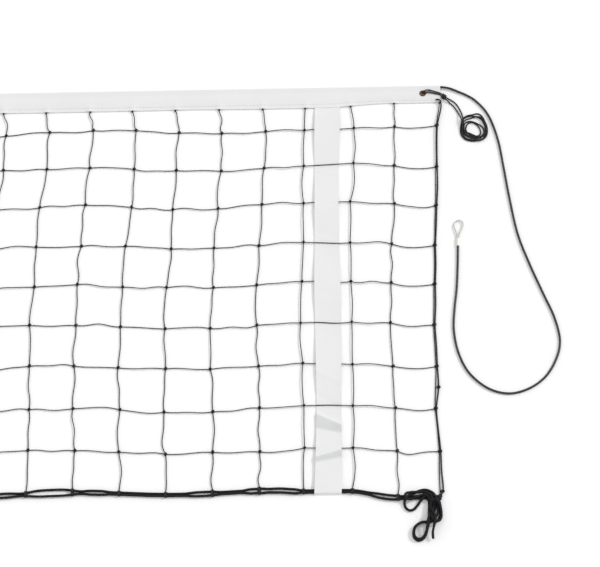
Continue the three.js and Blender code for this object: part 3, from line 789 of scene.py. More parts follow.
class LayHeadCable(bpy.types.Operator):
    """Lays the cable's two tails, with their ferrules and eyes"""

    bl_idname = "net.lay_head_cable"
    bl_label = "Head Cable"

    # The right-hand tail's route on the ground, in millimetres.
    RIGHT = [
        (4756.3, 504.75, 4.5), (4764, 504.2, 4.5), (4779, 501, 4.2), (4799, 492, 3.4),
        (4817, 483, 2.6), (4833, 472, 2.6), (4847, 457.5, 2.6), (4860, 440, 2.6),
        (4872, 415, 2.6), (4887, 362, 2.6), (4898, 289, 2.6), (4909, 210, 2.6),
        (4925, 118, 2.6), (4948, 45, 2.6), (4976, -30, 2.6), (5000, -94, 2.6),
        (5009, -150, 2.6), (4999, -192, 2.6), (4974, -234, 2.6), (4938, -261, 2.6),
        (4897, -272, 2.6), (4854, -261, 2.6), (4812, -224, 2.6), (4789, -176, 2.6),
        (4779, -118, 2.6), (4781, -70, 2.6), (4787, -15, 2.6), (4790, 40, 2.8),
        (4791.5, 90, 3.1),
    ]

    def left_route(self):
        """Straight out of the band, round a put-away coil in two layers of
        three turns, and out beside it."""
        out = [(-4756.3, 504.75, 4.5), (-4766, 504.75, 4.5), (-4788, 504.75, 4.5),
               (-4812, 504.75, 3.8), (-4836, 504.75, 3), (-4860, 504.75, 2.6)]
        centre_x, centre_y = -4903, 469.25
        lanes = (35.5, 30.5, 25.4, 25.4, 30.5, 35.5, 35.5)
        levels = (2.6, 2.6, 2.6, 7.8, 7.8, 7.8, 7.8)
        coil = []
        turns, steps = 6.18, 24
        for i in range(int(turns * steps) + 1):
            turn = i / steps
            lap = min(int(turn), 5)
            change = smooth((turn - lap - 0.8) / 0.2)
            reach = lanes[lap] + (lanes[lap + 1] - lanes[lap]) * change
            level = levels[lap] + (levels[lap + 1] - levels[lap]) * change
            angle = math.pi / 2 + math.tau * turn
            coil.append((centre_x + reach * math.cos(angle), centre_y + reach * math.sin(angle), level))
        away = [(-4938.5, 458, 6), (-4938.5, 444, 4.2), (-4938.5, 430, 3.1),
                (-4938.5, 418, 3.1), (-4938.5, 409.25, 3.1)]
        return out + coil + away

    def execute(self, context):
        sizes = context.scene.net_sizes
        ends = {"right": (4.7915, 0.0903, 1), "left": (-4.9385, 0.40895, -1)}
        routes = {"right": self.RIGHT, "left": self.left_route()}
        nodes = {
            "right": ["cable_tail_right"],
            "left": ["cable_tail_left", "cable_coil_left", "cable_end_left"],
        }
        for label, side in SIDES:
            line = curve_through(routes[label], 0.004)
            cord = CordMesh()
            cord.sweep(line, sizes.cable / 2, sides=16, rounded=False)
            tail = cord.make(f"cable_sheath_{label}", "coating", "cable_coating", "head_cable")
            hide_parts(*nodes[label])
            x, y, heading = ends[label]
            sleeve = self.ferrule(label, x, y, heading)
            eye = self.eye(label, x, y, heading)
        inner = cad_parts["head_cable"]
        inner.data.materials.clear()
        inner.data.materials.append(finish_of("coating"))
        return {"FINISHED"}

    def ferrule(self, label, x, y, heading):
        """Oval sleeve, pinched by the press in three places."""
        low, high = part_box(f"ferrule_{label}")
        wide, thick = (high.x - low.x) / 2, (high.z - low.z) / 2
        length = high.y - low.y
        shares = [
            (0, 0.72), (0.012, 0.86), (0.04, 0.97), (0.09, 1), (0.2, 1), (0.24, 0.9), (0.3, 0.9),
            (0.34, 1), (0.46, 1), (0.5, 0.9), (0.56, 0.9), (0.6, 1), (0.72, 1), (0.76, 0.9),
            (0.82, 0.9), (0.86, 1), (0.94, 1), (0.975, 0.95), (1, 0.74),
        ]
        rings = [(share * length, wide * size, thick * size) for share, size in shares]
        centre = Vector((x, y, (low.z + high.z) / 2))
        sleeve = turned_piece(
            f"pressed_sleeve_{label}", rings, centre, Vector((0, heading, 0)),
            "alloy", "head_cable",
        )
        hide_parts(f"ferrule_{label}")
        return sleeve

    def eye(self, label, x, y, heading):
        """Bare laid wire turned back on itself, a little lopsided by hand."""
        start = y + heading * 0.0203
        half = 10
        shape = [
            (-1.8, 0), (-1.8, 4), (-half * 0.45, 14), (-half * 0.8, 24), (-half * 1.02, 33),
            (-half * 0.78, 40.4), (-2, 44.2), (2.2, 44.4), (half * 0.8, 40), (half * 0.98, 32.5),
            (half * 0.8, 24), (half * 0.47, 14), (1.8, 4), (1.8, 0),
        ]
        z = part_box(f"wire_eye_{label}")[0].z / MM + 1.6
        lean = 0.07
        points = [
            (x / MM + (across + lean * along) * heading, start / MM + along * heading, z)
            for across, along in shape
        ]
        line = curve_through(points, 0.0012)
        wire = CordMesh()
        wire.sweep(line, 0.0014, sides=12, relief=laid_relief(6, 0.02, 0.16))
        eye = wire.make(f"laid_wire_eye_{label}", "wire", "bare_wire", "head_cable")
        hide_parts(f"wire_eye_{label}")
        return eye


class KnotTieCords(bpy.types.Operator):
    """Threads the doubled tie cord through each corner eyelet, knots it and
    coils its ends"""

    bl_idname = "net.knot_tie_cords"
    bl_label = "Tie Cords"

    KNOT = (4766, 478.5)
    KNOT_TURN = math.radians(-38)

    def by_knot(self, along, across, z):
        c, s = math.cos(self.KNOT_TURN), math.sin(self.KNOT_TURN)
        return (self.KNOT[0] + along * c - across * s, self.KNOT[1] + along * s + across * c, z)

    # Places along the coil's loose turns, in millimetres.
    UPPER_TURNS = [
        (4797, 454.5), (4803, 442), (4807, 430), (4809, 419.5), (4809.5, 407.5), (4809, 397),
        (4810.5, 386), (4815, 376.5), (4823, 370.5), (4833, 368), (4843.5, 368), (4852, 372),
        (4857, 380), (4859, 390.5), (4858, 400.5), (4855, 409.5), (4850.5, 417.5),
        (4843.5, 423.5), (4835.5, 426), (4828, 427), (4821, 426), (4814.5, 423), (4809.5, 417),
        (4806.5, 409), (4805, 399), (4805.5, 387.5), (4808.5, 376.5), (4814.5, 368.5),
        (4823.5, 365), (4834, 363.5), (4845.5, 363.5), (4854.5, 368), (4860, 376.5),
        (4862, 387.5), (4860.5, 399), (4858.5, 411), (4854.5, 422), (4848.5, 430),
        (4841, 433), (4833.5, 431.5), (4827.5, 429), (4821, 427.5), (4814.5, 424.5), (4809, 418),
        (4805, 407.5), (4803, 396), (4802.5, 385.5), (4805, 376), (4810, 368.5), (4817.5, 363.5),
        (4827, 361), (4837, 361), (4847.5, 362), (4856.5, 367), (4862, 376), (4863.5, 387.5),
        (4862, 399.5), (4858, 411), (4853, 420.5), (4846, 425.5),
    ]
    LOWER_TURNS = [
        (4793, 445.5), (4799, 433.5), (4803.5, 421), (4806.5, 409), (4808.5, 398.5),
        (4810, 390.5), (4814.5, 385), (4822, 382), (4830.5, 377.5), (4838, 374), (4844.5, 375.5),
        (4848, 381.5), (4847.5, 389), (4845, 396), (4840.5, 402.5), (4835, 407.5), (4829, 410),
        (4823, 409), (4818, 404.5), (4815.5, 398), (4814.5, 390.5), (4817.5, 382.5),
        (4825, 376.5), (4834.5, 372), (4844, 370.5), (4851.5, 374.5), (4855.5, 381.5),
        (4855, 389.5), (4852.5, 397), (4847, 402.5), (4840.5, 406), (4834, 409), (4826.5, 411.5),
        (4820, 412), (4814.5, 409), (4811.2, 402.5), (4810.6, 392.5), (4812.5, 382.5), (4817.5, 375.5),
        (4825.5, 372.5), (4835.5, 370), (4846, 369), (4853.5, 373.5), (4857, 382.5),
        (4858.5, 393), (4857, 404.5), (4853.5, 415), (4847.5, 421.5), (4839, 424), (4830, 422.5),
        (4822, 419.5), (4814, 414), (4808.5, 405), (4807, 394), (4809, 382.5), (4815, 374),
        (4824, 369.5), (4834, 366.5), (4845, 366.5), (4854, 371), (4859.5, 379.5), (4861, 390.5),
        (4859, 402), (4855.5, 413),
    ]

    def routes(self):
        rest = 1.75
        upper = [
            (4718, 489.55, 2), (4718.2, 489.55, 6), (4719.8, 490.8, 8.6), (4724, 493.4, 9.4),
            (4731, 494.8, 8.8), (4744, 491.4, 7.6), self.by_knot(-9, 1.7, 7),
            self.by_knot(-4, 1.5, 6.3), self.by_knot(0, 0, 5.2), self.by_knot(5.3, 1.7, 4.6),
            self.by_knot(9, 2, 3.4), (4782, 470.4, 2), (4790, 464, rest), *self.UPPER_TURNS,
        ]
        lower = [
            (4718, 486.15, 2), (4718.2, 486.15, 6), (4719.8, 486.6, 8.6), (4724, 488.2, 9.2),
            (4731, 489.2, 8.4), (4744, 486.4, 7.2), self.by_knot(-9, -1.8, 6.4),
            self.by_knot(-4, -1.5, 4), self.by_knot(0, 0, 2.4), self.by_knot(5.3, -1.9, 2.4),
            self.by_knot(9, -3, 1.8), (4779, 463, rest), (4786, 456, rest), *self.LOWER_TURNS,
        ]
        return {"upper": at_rest(upper, rest), "lower": at_rest(lower, rest)}

    def execute(self, context):
        tie = context.scene.net_sizes.tie
        nodes = {"upper": "1", "lower": "2"}
        for label, side in SIDES:
            laid = np.zeros((0, 3))
            for name, route in self.routes().items():
                line = settled(curve_through(mirrored(route, side), 0.0012), laid, tie)
                laid = line
                cord = CordMesh()
                cord.sweep(line, tie / 2, sides=10, relief=laid_relief(3, 0.011, 0.16))
                piece = cord.make(f"tie_cord_{name}_{label}", "twine", "tie_cord")
                strand = nodes[name]
                hidden = [f"tie_strand_{label}_{strand}", f"tie_tail_{label}_{strand}"]
                if name == "upper":
                    hidden.append(f"tie_coil_{label}")
                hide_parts(*hidden)
            self.knot(label, side, tie)
        return {"FINISHED"}

    def knot(self, label, side, tie):
        """Overhand knot drawn tight round both cords: close turns."""
        points = []
        for i in range(48):
            angle = math.tau * i / 12.5
            across = 4.2 * math.cos(angle)
            points.append(self.by_knot(-4.6 + i * 0.2, across, 5.4 + 3.7 * math.sin(angle)))
        line = curve_through(mirrored(points, side), 0.001)
        turns = CordMesh()
        turns.sweep(line, tie / 2, sides=10, relief=laid_relief(3, 0.011, 0.16))
        piece = turns.make(f"tie_cord_knot_{label}", "twine", "tie_cord")
        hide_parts(f"tie_knot_{label}")


class LayBottomRope(bpy.types.Operator):
    """Lays the braided rope along the bottom and bundles its ends"""

    bl_idname = "net.lay_bottom_rope"
    bl_label = "Bottom Rope"

    # The right-hand end's course in millimetres: down and up in a hank of
    # seven runs, twice round the lower loop, once over the bottom cords in the
    # small loop, and out to its tip.
    BUNDLE = [
        (4700.3, -514.7, 3.8), (4707, -514.5, 3.8), (4714, -515, 3.6), (4719, -519.5), (4720, -529),
        (4719.5, -541), (4719.5, -553), (4723, -563.5), (4731.5, -568), (4739.5, -563.5),
        (4743, -553.5), (4743.5, -541), (4743.5, -529), (4740, -519), (4732, -516),
        (4725.5, -521.5), (4725, -532), (4726, -544), (4728, -556), (4727, -566.5),
        (4719, -570), (4708, -568.5), (4698, -571), (4690, -579), (4686.5, -590.5),
        (4688, -602.5), (4695.5, -609.5), (4705, -607), (4711.5, -597.5), (4715.5, -584.5),
        (4720, -570.5), (4726, -555.5), (4731.5, -541), (4734.5, -526), (4733.5, -511.5),
        (4726, -500.5), (4713, -495), (4700, -497), (4688, -502.5), (4677.5, -508),
        (4670.5, -515.5), (4668, -525.5), (4671, -536), (4679, -541.5), (4688, -539),
        (4695, -531), (4701.5, -522), (4708.5, -514), (4718, -508.5), (4728.5, -509.5),
        (4736.5, -517.5), (4739, -529.5), (4738.5, -543), (4735.5, -556), (4727, -566),
        (4715, -571), (4704, -571), (4692.5, -577.5), (4687.6, -589), (4688.8, -601),
        (4696.5, -607.5), (4706.5, -604.5), (4713, -593), (4716, -580), (4718, -566),
        (4720.5, -552), (4722, -539), (4722.5, -526.5), (4720, -515), (4711.5, -508.5),
        (4700, -510.5), (4689, -515), (4680.5, -518.5), (4672.5, -517), (4669.2, -510.5),
        (4672.6, -504), (4681, -502), (4694, -501.5), (4707, -501.5), (4718, -505.5), (4726, -514),
        (4729, -526), (4728, -540), (4725, -552), (4726, -563), (4732, -570),
        (4740, -569.3), (4745, -561.5), (4745.5, -549), (4743.5, -536), (4738.5, -524.5),
        (4730, -520.5), (4723.5, -527.5), (4724.5, -542), (4730.5, -555), (4733, -568), (4730, -581),
        (4727, -594), (4727.5, -607),
    ]

    def execute(self, context):
        sizes = context.scene.net_sizes
        x = np.linspace(-ROPE_END_X, ROPE_END_X, 4701)
        line = np.stack([x, rope_y(x), np.full_like(x, ROPE_Z)], axis=1)
        rope = CordMesh()
        relief = braided_relief(4, 0.016, 0.24)
        rope.sweep(line, sizes.rope * 0.53, sides=12, relief=relief, flat=True, rounded=False)
        piece = rope.make("braided_bottom_rope", "rope", "braided_rope")
        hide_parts("bottom_rope")
        x = np.arange(4.66, LINE_HIGH.x, 0.002)
        beside = np.stack([x, line_y(x), np.full_like(x, sizes.line / 2)], axis=1)
        inner = x < ROPE_END_X - 0.004
        along = np.stack([x[inner], rope_y(x[inner]), np.full(inner.sum(), ROPE_Z)], axis=1)
        under = np.vstack([beside, along])
        for label, side in SIDES:
            route = mirrored(at_rest(self.BUNDLE, sizes.rope / MM * 0.58), side)
            line = settled(curve_through(route, 0.002), under * (side, 1, 1), sizes.rope)
            end = CordMesh()
            end.sweep(line, sizes.rope * 0.56, sides=12, relief=braided_relief(4, 0.016, 0.32))
            piece = end.make(f"bundled_rope_end_{label}", "rope", "braided_rope")
            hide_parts(f"rope_lead_{label}", f"rope_hank_{label}", f"rope_loop_{label}")
        return {"FINISHED"}


class KnotNetting(bpy.types.Operator):
    """Knots the netting, and strings its edge cords and bottom line"""

    bl_idname = "net.knot_netting"
    bl_label = "Netting"

    def execute(self, context):
        sizes = context.scene.net_sizes
        spread = Spread(sizes)
        halves = {"right": CordMesh(), "left": CordMesh()}
        twine = sizes.twine / 2
        middle = COLUMNS // 2
        tape_spans = [i for i in range(COLUMNS) if abs(abs(spread.columns[i] + MESH / 2) - TAPE_X) < 0.01]
        for k in range(ROWS):
            line = spread.strand(spread.knots[:, k], calm=tape_spans, ease=0.7, sag=(0, COLUMNS - 1))
            centre = middle * SPAN_STEPS + SPAN_STEPS // 2
            halves["left"].sweep(line[: centre + 1], twine, rounded=False, flat=True)
            halves["right"].sweep(line[centre:], twine, rounded=False, flat=True)
        for i, x in enumerate(spread.columns):
            half = halves["right" if x > 0 else "left"]
            edge = i in (0, COLUMNS)
            column = self.column(spread, i, x)
            away = math.copysign(1, x - math.copysign(TAPE_X, x)) if beside_tape(x) else 0
            line = spread.strand(column, calm=range(13) if edge else (0, 11), away=away)
            half.sweep(line, twine, flat=True)
            self.tie_knots(half, spread, column, 0.85 if away else 1)
            if edge:
                self.edge_cord(spread, column, "right" if x > 0 else "left", sizes)
        for label, half in halves.items():
            piece = half.make(f"knotted_netting_{label}", "twine", "netting_twine")
            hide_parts(f"netting_{label}_half")
        self.bottom_line(sizes)
        return {"FINISHED"}

    def column(self, spread, i, x):
        """A vertical cord's knots, from inside the hem to the bottom line."""
        hem_y = HEM_Y + hem_rise(x)
        aside = spread.random.normal(0, 0.001)
        away = np.sign(x) * np.sign(abs(x) - TAPE_X)
        if abs(x) > 4.7:
            aside = np.sign(x) * 0.0055
        elif beside_tape(x):
            aside = away * max(away * aside, 0.0022)
        inside = np.array([x + aside, hem_y + 0.012, 0.0028])
        hem = np.array([x + aside, hem_y - 0.001, 0.0028])
        foot_x = np.clip(x + swell(np.array(x), np.array(LINE_Y))[0], -4.7435, 4.7435)
        if beside_tape(x):
            clear = tape_drift(LINE_Y) - 0.002 * np.sign(TAPE_X - abs(x))
            limit = np.maximum if abs(x) > TAPE_X else np.minimum
            foot_x = np.sign(x) * limit(abs(foot_x), abs(x) + clear)
        low = np.array([foot_x, line_y(foot_x) + 0.0055, 0.0022])
        foot = np.array([foot_x, line_y(foot_x), 0.0052])
        return np.vstack([inside, hem, spread.knots[i], low, foot])

    def tie_knots(self, half, spread, column, size):
        """A knot at each crossing, a turn at the hem and a hitch at the foot."""
        for place in column[2:-2]:
            turn = math.radians(45) + spread.random.normal(0, 0.35)
            loop = knot_loop(spread.random.uniform(0.0028, 0.0034) * size, turn, 0.9)
            half.sweep(loop + place + (0, 0, 0.0013), 0.0015 * size, sides=5)
        turn = knot_loop(0.0016, 0.2, 0.4)
        half.sweep(turn + column[1] + (0, -0.0016, 0.0006), 0.0011, sides=5)
        self.hitch(half, column[-1])

    def hitch(self, half, foot):
        """Twine turned three times round the bottom line and rope together."""
        angle = math.tau * np.arange(25) / 8
        high, low = line_y(foot[0]) + 0.003, rope_y(foot[0]) - 0.0032
        loop = np.stack(
            [
                foot[0] + 0.0017 * (angle / math.tau - 1.5),
                (high + low) / 2 + (high - low) / 2 * np.cos(angle),
                0.0044 + 0.0031 * np.sin(angle),
            ],
            axis=1,
        )
        half.sweep(loop, 0.0014, sides=5)

    def edge_cord(self, spread, column, label, sizes):
        """The thicker cord that binds the netting's edge. It leaves the band's
        corner through its face, is hitched at each row, has one knot where it
        was joined, and ends in another."""
        side = 1 if label == "right" else -1
        points = [(4747.5, 470.2, 5.2), (4749.5, 470.4, 6.7), (4753, 470.2, 7.8), (4757.2, 467.4, 7.4),
                  (4758.8, 461, 6.6), (4758.9, 450, 6)]
        points = mirrored(points, side)
        places = column[2:-2]
        offset = np.array([side * 0.0029, 0, 0])
        splice = None
        for n, place in enumerate(places):
            height = max(0.0058 - 0.0012 * n, 0.0024)
            if n:
                middle = (places[n - 1] + place) / 2 + offset
                wander = spread.random.normal(0, 0.0007)
                if n == 7:
                    wander = side * 0.0035
                    splice = middle + (wander - side * 0.0016, 0, 0)
                points.append(((middle[0] + wander) / MM, middle[1] / MM, height / MM))
            points.append(((place[0] + offset[0]) / MM, place[1] / MM, height / MM))
        points += mirrored([(4747.5, -452, 2.4), (4750, -482, 2.4), (4750, -497, 3.6),
                            (4747.5, -503.5, 2.4), (4746, -507.5, 2)], side)
        cord = CordMesh()
        relief = laid_relief(3, 0.012, 0.16)
        cord.sweep(curve_through(points, 0.004), sizes.edge / 2, sides=8, relief=relief)
        for place in [*places, splice, np.array([side * 4.7472, -0.499, 0.002])]:
            loop = knot_loop(0.0036, 0.1 * side, 0.5)
            cord.sweep(loop + place + (side * 0.0016, 0, 0.0022), 0.0015, sides=6)
        piece = cord.make(f"bound_edge_{label}", "twine", "netting_twine")
        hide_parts(f"edge_cord_{label}")

    def bottom_line(self, sizes):
        """The line that the netting's last row is made onto."""
        x = np.linspace(LINE_LOW.x + 0.004, LINE_HIGH.x - 0.004, 4744)
        line = np.stack([x, line_y(x), np.full_like(x, sizes.line * 0.55 + 0.0001)], axis=1)
        cord = CordMesh()
        relief = braided_relief(4, 0.016, 0.36)
        cord.sweep(line, sizes.line * 0.55, sides=10, relief=relief, flat=True)
        piece = cord.make("braided_bottom_line", "rope", "netting_twine")
        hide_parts("bottom_line")


class FoldTopBand(bpy.types.Operator):
    """Folds the band over the cable, stitches its hem and sets its eyelets"""

    bl_idname = "net.fold_top_band"
    bl_label = "Top Band"

    def section(self, sizes):
        """The band's middle line, (y, z, share of the hem), from the back hem
        round the cable to the front hem."""
        half = sizes.cloth / 2
        back_z = BAND_LOW.z + half
        front_z = 0.0056 - half
        reach = sizes.cable / 2 + 0.0003 + half
        ys = [HEM_Y, HEM_Y + 0.003, HEM_Y + 0.008, HEM_Y + 0.014, HEM_Y + 0.02,
              EYELET_Y - EYELET_PUNCH, EYELET_Y + EYELET_PUNCH, EYELET_Y + EYELET_PUNCH + 0.002]
        flap = EYELET_Y - EYELET_PUNCH - HEM_Y
        shares = [max((EYELET_Y - EYELET_PUNCH - y) / flap, 0) for y in ys]
        section = [(y, back_z, share) for y, share in zip(ys, shares)]
        turn = math.radians(107.5)
        for angle in np.linspace(-math.pi / 2, turn, 10):
            section.append((CABLE_Y + reach * math.cos(angle), CABLE_Z + reach * math.sin(angle), 0))
        section += [(y, front_z, share) for y, share in zip(reversed(ys), reversed(shares))]
        return section

    def stations(self):
        """Places along the band, closer over each cord's end and the eyelets."""
        beside = np.array([-0.036, -0.022, -0.013, -0.009, -0.006, -0.003, 0, 0.003, 0.006, 0.009,
                           0.013, 0.022, 0.036, 0.05])
        plain = (COLUMN_XS[:, None] + beside).ravel()
        plain = plain[np.abs(plain) < BAND_END_X - 0.003]
        near = np.abs(np.abs(plain) - EYELET_X) < 0.012
        rim = (-0.0095, -EYELET_PUNCH, EYELET_PUNCH, 0.0095)
        extra = [side * EYELET_X + d for _, side in SIDES for d in rim]
        ends = [-BAND_END_X, BAND_END_X]
        return np.sort(np.concatenate([plain[~near], extra, ends]))

    def front_level(self, x, share):
        """Height of the front flap's middle. From the eyelets' level it falls
        to the back flap, but stands over each cord's end and over a tape."""
        top = 0.0052
        column = (x - MESH / 2) % MESH
        aside = min(column, MESH - column)
        if abs(x) > EDGE_X:
            aside = max(abs(x) - EDGE_X - 0.0045, 0)
        over_tape = math.exp(-((abs(abs(x) - TAPE_X) / 0.046) ** 8))
        low = 0.0023 + 0.0009 * over_tape
        rise = math.exp(-((aside / 0.008) ** 2))
        return top - (top - low - (0.0043 - low) * rise) * smooth(share)

    def execute(self, context):
        sizes = context.scene.net_sizes
        section = self.section(sizes)
        xs = self.stations()
        random = np.random.default_rng(sizes.seed + 1)
        phases = random.uniform(0, math.tau, 6)
        rows = []
        for x in xs:
            ripple = sum(
                math.sin(x * math.tau / wave + phase) / (n + 1)
                for n, (wave, phase) in enumerate(zip((0.83, 0.37, 0.21), phases))
            )
            row = []
            for k, (y, z, share) in enumerate(section):
                front = k > len(section) / 2 and share > 0
                level = self.front_level(x, share) if front else z
                row.append((x, y + (0.0006 * ripple + hem_rise(x)) * share, level))
            rows.append(row)
        lengths = np.concatenate(
            [[0], np.cumsum([math.dist(a[:2], b[:2]) for a, b in zip(section, section[1:])])]
        )
        holes = self.punched(xs, section)
        mesh = sheet_grid("folded_top_band", rows, (xs, lengths), holes)
        piece = place_piece("folded_top_band", mesh, "band")
        thicken(piece, sizes.cloth)
        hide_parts("top_band")
        stitches = self.stitches(sizes)
        for label, side in SIDES:
            self.eyelet(label, side)
        return {"FINISHED"}

    def punched(self, xs, section):
        """The cells that the eyelets' holes take out of both flaps."""
        holes = set()
        for i in range(len(xs) - 1):
            centre = abs((xs[i] + xs[i + 1]) / 2)
            if abs(centre - EYELET_X) > 0.003:
                continue
            for k in range(len(section) - 1):
                y = (section[k][0] + section[k + 1][0]) / 2
                if abs(y - EYELET_Y) < 0.003:
                    holes.add((i, k))
        return holes

    def stitches(self, sizes):
        """A row of lockstitches along the hem, each a short raised thread."""
        thread = CordMesh()
        share = 0.68
        length = sizes.stitch * 0.62
        for x in np.arange(-BAND_END_X + 0.006, BAND_END_X - 0.006, sizes.stitch):
            places = np.array([x, x + 0.001, x + length - 0.001, x + length])
            tops = [self.front_level(place, share) + sizes.cloth / 2 for place in places]
            y = HEM_Y + 0.0085 + hem_rise(places) * share
            line = np.stack([places, y, tops + np.array([-0.0003, 0.0002, 0.0002, -0.0003])], axis=1)
            thread.sweep(line, 0.0004, sides=5, flat=True)
        piece = thread.make("hem_stitching", "thread", "band_cloth")
        return piece

    def eyelet(self, label, side):
        """Rolled flange and barrel, bridged into one ring, over its washer."""
        low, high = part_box(f"eyelet_flange_{label}")
        centre = Vector((side * EYELET_X, EYELET_Y, 0))
        outer = (high.x - low.x) / 2
        seat = high.z - 0.0008
        rings = [
            (low.z, 0.00405), (low.z, 0.0047), (seat, 0.0047), (seat, outer - 0.0006),
            (seat + 0.0001, outer - 0.0001), (seat + 0.0003, outer), (seat + 0.00055, outer - 0.0003),
            (seat + 0.00075, outer - 0.0011), (seat + 0.0008, outer - 0.002),
            (seat + 0.00072, outer - 0.0028), (seat + 0.0005, outer - 0.0034),
            (seat + 0.0001, 0.00412), (seat - 0.0006, 0.004), (low.z + 0.0001, 0.004),
            (low.z, 0.00405),
        ]
        ring = turned_piece(
            f"rolled_eyelet_{label}", [(z, r, r) for z, r in rings], centre, Vector((0, 0, 1)),
            "brass", sides=40, ring_shut=True,
        )
        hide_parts(f"eyelet_flange_{label}")
        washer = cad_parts[f"eyelet_washer_{label}"]
        washer.data.materials.clear()
        washer.data.materials.append(finish_of("brass"))


class WeaveMarkerTapes(bpy.types.Operator):
    """Weaves the two marker tapes through the netting and round the rope"""

    bl_idname = "net.weave_marker_tapes"
    bl_label = "Marker Tapes"

    # Old folds that stand up a little: the height in y of the fold's ridge at
    # the tape's left and right edges, and how far the painted shade on its
    # tilted face reaches below.
    FOLDS = {
        "right": [((-0.317, -0.343), (0.034, 0.02)), ((-0.42, -0.403), (0.011, 0.017))],
        "left": [((0.228, 0.205), (0.016, 0.024)), ((-0.112, -0.128), (0.022, 0.013))],
    }
    RIDGE = 0.0028

    def middle_line(self):
        """The tape's middle in (y, z): out of the hem, over and under the rows
        in turn, over the bottom line and rope, round them and back."""
        half = TAPE_THICKNESS / 2
        over, under = 0.0048 + half, 0.0017 - half
        middle, swing = (over + under) / 2, (over - under) / 2
        wrap = 0.0027 + 0.0003 + half
        line = []
        last = FIRST_Y - (ROWS - 1) * MESH
        for y in np.arange(HEM_Y + 0.007, last - 0.055, -0.0035):
            woven = middle + swing * math.cos(math.pi * (FIRST_Y - max(y, last)) / MESH)
            line.append((y, 0.0022 + (woven - 0.0022) * smooth((HEM_Y - 0.001 - y) / 0.02)))
        foot = LINE_Y + MESH / 4
        line += [(foot + 0.01, over + 0.0005), (foot, over + 0.0009)]
        centre = float(rope_y(TAPE_X))
        line.append((centre + 0.012, ROPE_Z + wrap + 0.0002))
        line.append((centre + 0.006, ROPE_Z + wrap + 0.0002))
        for angle in np.linspace(math.pi / 2, 1.5 * math.pi, 12):
            line.append((centre + wrap * math.cos(angle), ROPE_Z + wrap * math.sin(angle)))
        line.append((centre + 0.01, 0.0005))
        line.append((centre + 0.03, 0.0005))
        return line

    def folded(self, label, y, share):
        """Height that the folds add at a place, and how much painted shade the tape's colour takes there.
        """
        height, fold_shade = 0.0, 0.0
        for (left, right), (reach_left, reach_right) in self.FOLDS[label]:
            ridge = left + (right - left) * (share + 0.5)
            reach = reach_left + (reach_right - reach_left) * (share + 0.5)
            above = y - ridge
            if above > 0:
                height += self.RIDGE * math.exp(-((above / 0.004) ** 2))
                fold_shade += math.exp(-((above / 0.0016) ** 2))
            elif above > -reach:
                height += self.RIDGE * (1 + above / reach)
                fold_shade += min(1.0, (above + reach) / 0.005)
        return height, fold_shade

    def execute(self, context):
        sizes = context.scene.net_sizes
        line = self.middle_line()
        across = np.linspace(-0.5, 0.5, 15)
        steps = [math.dist(a, b) for a, b in zip(line, line[1:])]
        lengths = np.concatenate([[0], np.cumsum(steps)])
        for label, side in SIDES:
            random = np.random.default_rng(sizes.seed + (2 if side > 0 else 3))
            creases = [(FIRST_Y - 0.02 - random.uniform(0, 0.85), random.uniform(-0.6, 0.6),
                        random.choice((-1, 1)) * random.uniform(0.0002, 0.0006)) for _ in range(12)]
            rows, fold_shades = [], []
            for y, z in line:
                flat_part = y > LINE_Y + 0.05
                width = TAPE_WIDTH + 0.001 + 0.0022 * math.cos(math.tau * (y - 0.45) / 0.5)
                row = []
                for share in across:
                    # Each fold adds its height, and a painted shade mask on its tilted face.
                    fold, fold_shade = self.folded(label, y, share)
                    fold += sum(
                        rise * math.exp(-(((y - at) + slope * share * TAPE_WIDTH) / 0.006) ** 2)
                        for at, slope, rise in creases
                    )
                    curl = 0.0004 * (2 * share) ** 4
                    height = z + (fold + curl if flat_part else 0)
                    row.append((side * (TAPE_X + tape_drift(y) + share * width), y, max(height, 0.0005)))
                    fold_shades.append(fold_shade if flat_part else 0.0)
                rows.append(row)
            name = f"woven_marker_tape_{label}"
            mesh = sheet_grid(name, rows, (lengths, across * TAPE_WIDTH))
            # The fold attribute carries the painted shade mask to the tape's material.
            attribute = mesh.attributes.new("fold", "FLOAT", "POINT")
            attribute.data.foreach_set("value", fold_shades)
            piece = place_piece(name, mesh, "tape", f"marker_tape_{label}")
            thicken(piece, TAPE_THICKNESS)
            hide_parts(f"marker_tape_{label}")
        return {"FINISHED"}


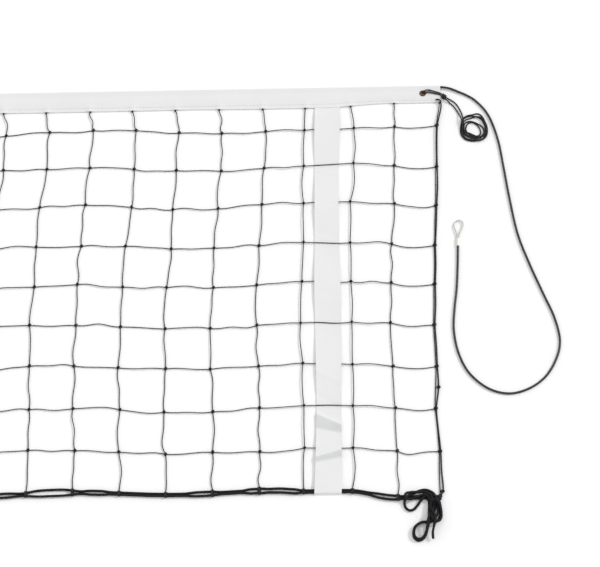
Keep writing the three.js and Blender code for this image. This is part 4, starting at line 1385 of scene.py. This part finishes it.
class SetStage(bpy.types.Operator):
    """Sets the pale floor, the soft lights and the camera"""

    bl_idname = "net.set_stage"
    bl_label = "Stage"

    def execute(self, context):
        scene = context.scene
        scene.view_settings.view_transform = "Standard"
        self.camera(scene)
        self.floor(scene)
        self.light(scene)
        return {"FINISHED"}

    def camera(self, scene):
        data = bpy.data.cameras.new("Camera")
        data.sensor_width = 36
        data.lens = 153.2
        data.clip_end = 200
        camera = bpy.data.objects.new("Camera", data)
        camera.location = (4.73102, -2.60126, 5.01272)
        camera.rotation_euler = [math.radians(a) for a in (27.45426, 2.98844, 0.62858)]
        scene.collection.objects.link(camera)
        scene.camera = camera

    def floor(self, scene):
        deselect_all()
        bpy.ops.mesh.primitive_plane_add(size=120, location=(0, 0, 0))
        floor = bpy.context.object
        floor.name = "studio_floor"
        material, shader = start_material("matt_studio_paper", 1.0)
        shader.inputs["Base Color"].default_value = shade(scene.net_colours.ground, 1)
        shader.inputs["Specular IOR Level"].default_value = 0.0
        path = add_node(material, "ShaderNodeLightPath").outputs["Is Camera Ray"]
        glow = arithmetic(material, "MULTIPLY", path, 0.045)
        shader.inputs["Emission Color"].default_value = (1, 1, 1, 1)
        material.node_tree.links.new(glow, shader.inputs["Emission Strength"])
        floor.data.materials.append(material)

    def light(self, scene):
        """An even white surround, and a broad lamp from the right."""
        world = bpy.data.worlds.new("Surround")
        scene.world = world
        world.use_nodes = True
        background = world.node_tree.nodes["Background"]
        background.inputs["Color"].default_value = (1, 1, 1, 1)
        rays = add_node(world, "ShaderNodeLightPath").outputs
        seen = arithmetic(world, "MAXIMUM", rays["Is Camera Ray"], rays["Is Glossy Ray"])
        shown = arithmetic(world, "MAXIMUM", seen, rays["Is Transmission Ray"])
        level = add_node(world, "ShaderNodeMapRange", {"Value": shown, "To Min": 0.76, "To Max": 1.0})
        world.node_tree.links.new(level.outputs[0], background.inputs["Strength"])
        lamp = bpy.data.lights.new("Window", "SUN")
        lamp.energy = 1.25
        lamp.angle = math.radians(9)
        sun = bpy.data.objects.new("Window", lamp)
        direction = Vector((-0.85, -0.35, -0.72))
        sun.rotation_euler = direction.to_track_quat("-Z", "Y").to_euler()
        sun.location = (0, 0, 3)
        scene.collection.objects.link(sun)


class NetPanel(bpy.types.Panel):
    """Lists the steps that build the net"""

    bl_idname = "VIEW3D_PT_volleyball_net"
    bl_label = "Volleyball Net"
    bl_space_type = "VIEW_3D"
    bl_region_type = "UI"
    bl_category = "Net"

    def draw(self, context):
        for group in (context.scene.net_sizes, context.scene.net_colours):
            for name in group.bl_rna.properties.keys():
                if name not in ("rna_type", "name"):
                    self.layout.prop(group, name)
        for step in STEPS:
            self.layout.operator(step.bl_idname)


STEPS = (
    SetStage,
    LayHeadCable,
    KnotTieCords,
    LayBottomRope,
    KnotNetting,
    FoldTopBand,
    WeaveMarkerTapes,
)
CLASSES = (NetSizes, NetColours, *STEPS, NetPanel)


def register():
    for item in CLASSES:
        bpy.utils.register_class(item)
    bpy.types.Scene.net_sizes = bpy.props.PointerProperty(type=NetSizes)
    bpy.types.Scene.net_colours = bpy.props.PointerProperty(type=NetColours)


def unregister():
    del bpy.types.Scene.net_colours
    del bpy.types.Scene.net_sizes
    for item in reversed(CLASSES):
        bpy.utils.unregister_class(item)


def main():
    """Builds every piece in order."""
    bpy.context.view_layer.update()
    register()
    bpy.ops.net.set_stage()
    bpy.ops.net.lay_head_cable()
    bpy.ops.net.knot_tie_cords()
    bpy.ops.net.lay_bottom_rope()
    bpy.ops.net.knot_netting()
    bpy.ops.net.fold_top_band()
    bpy.ops.net.weave_marker_tapes()


if __name__ == "__main__":
    main()
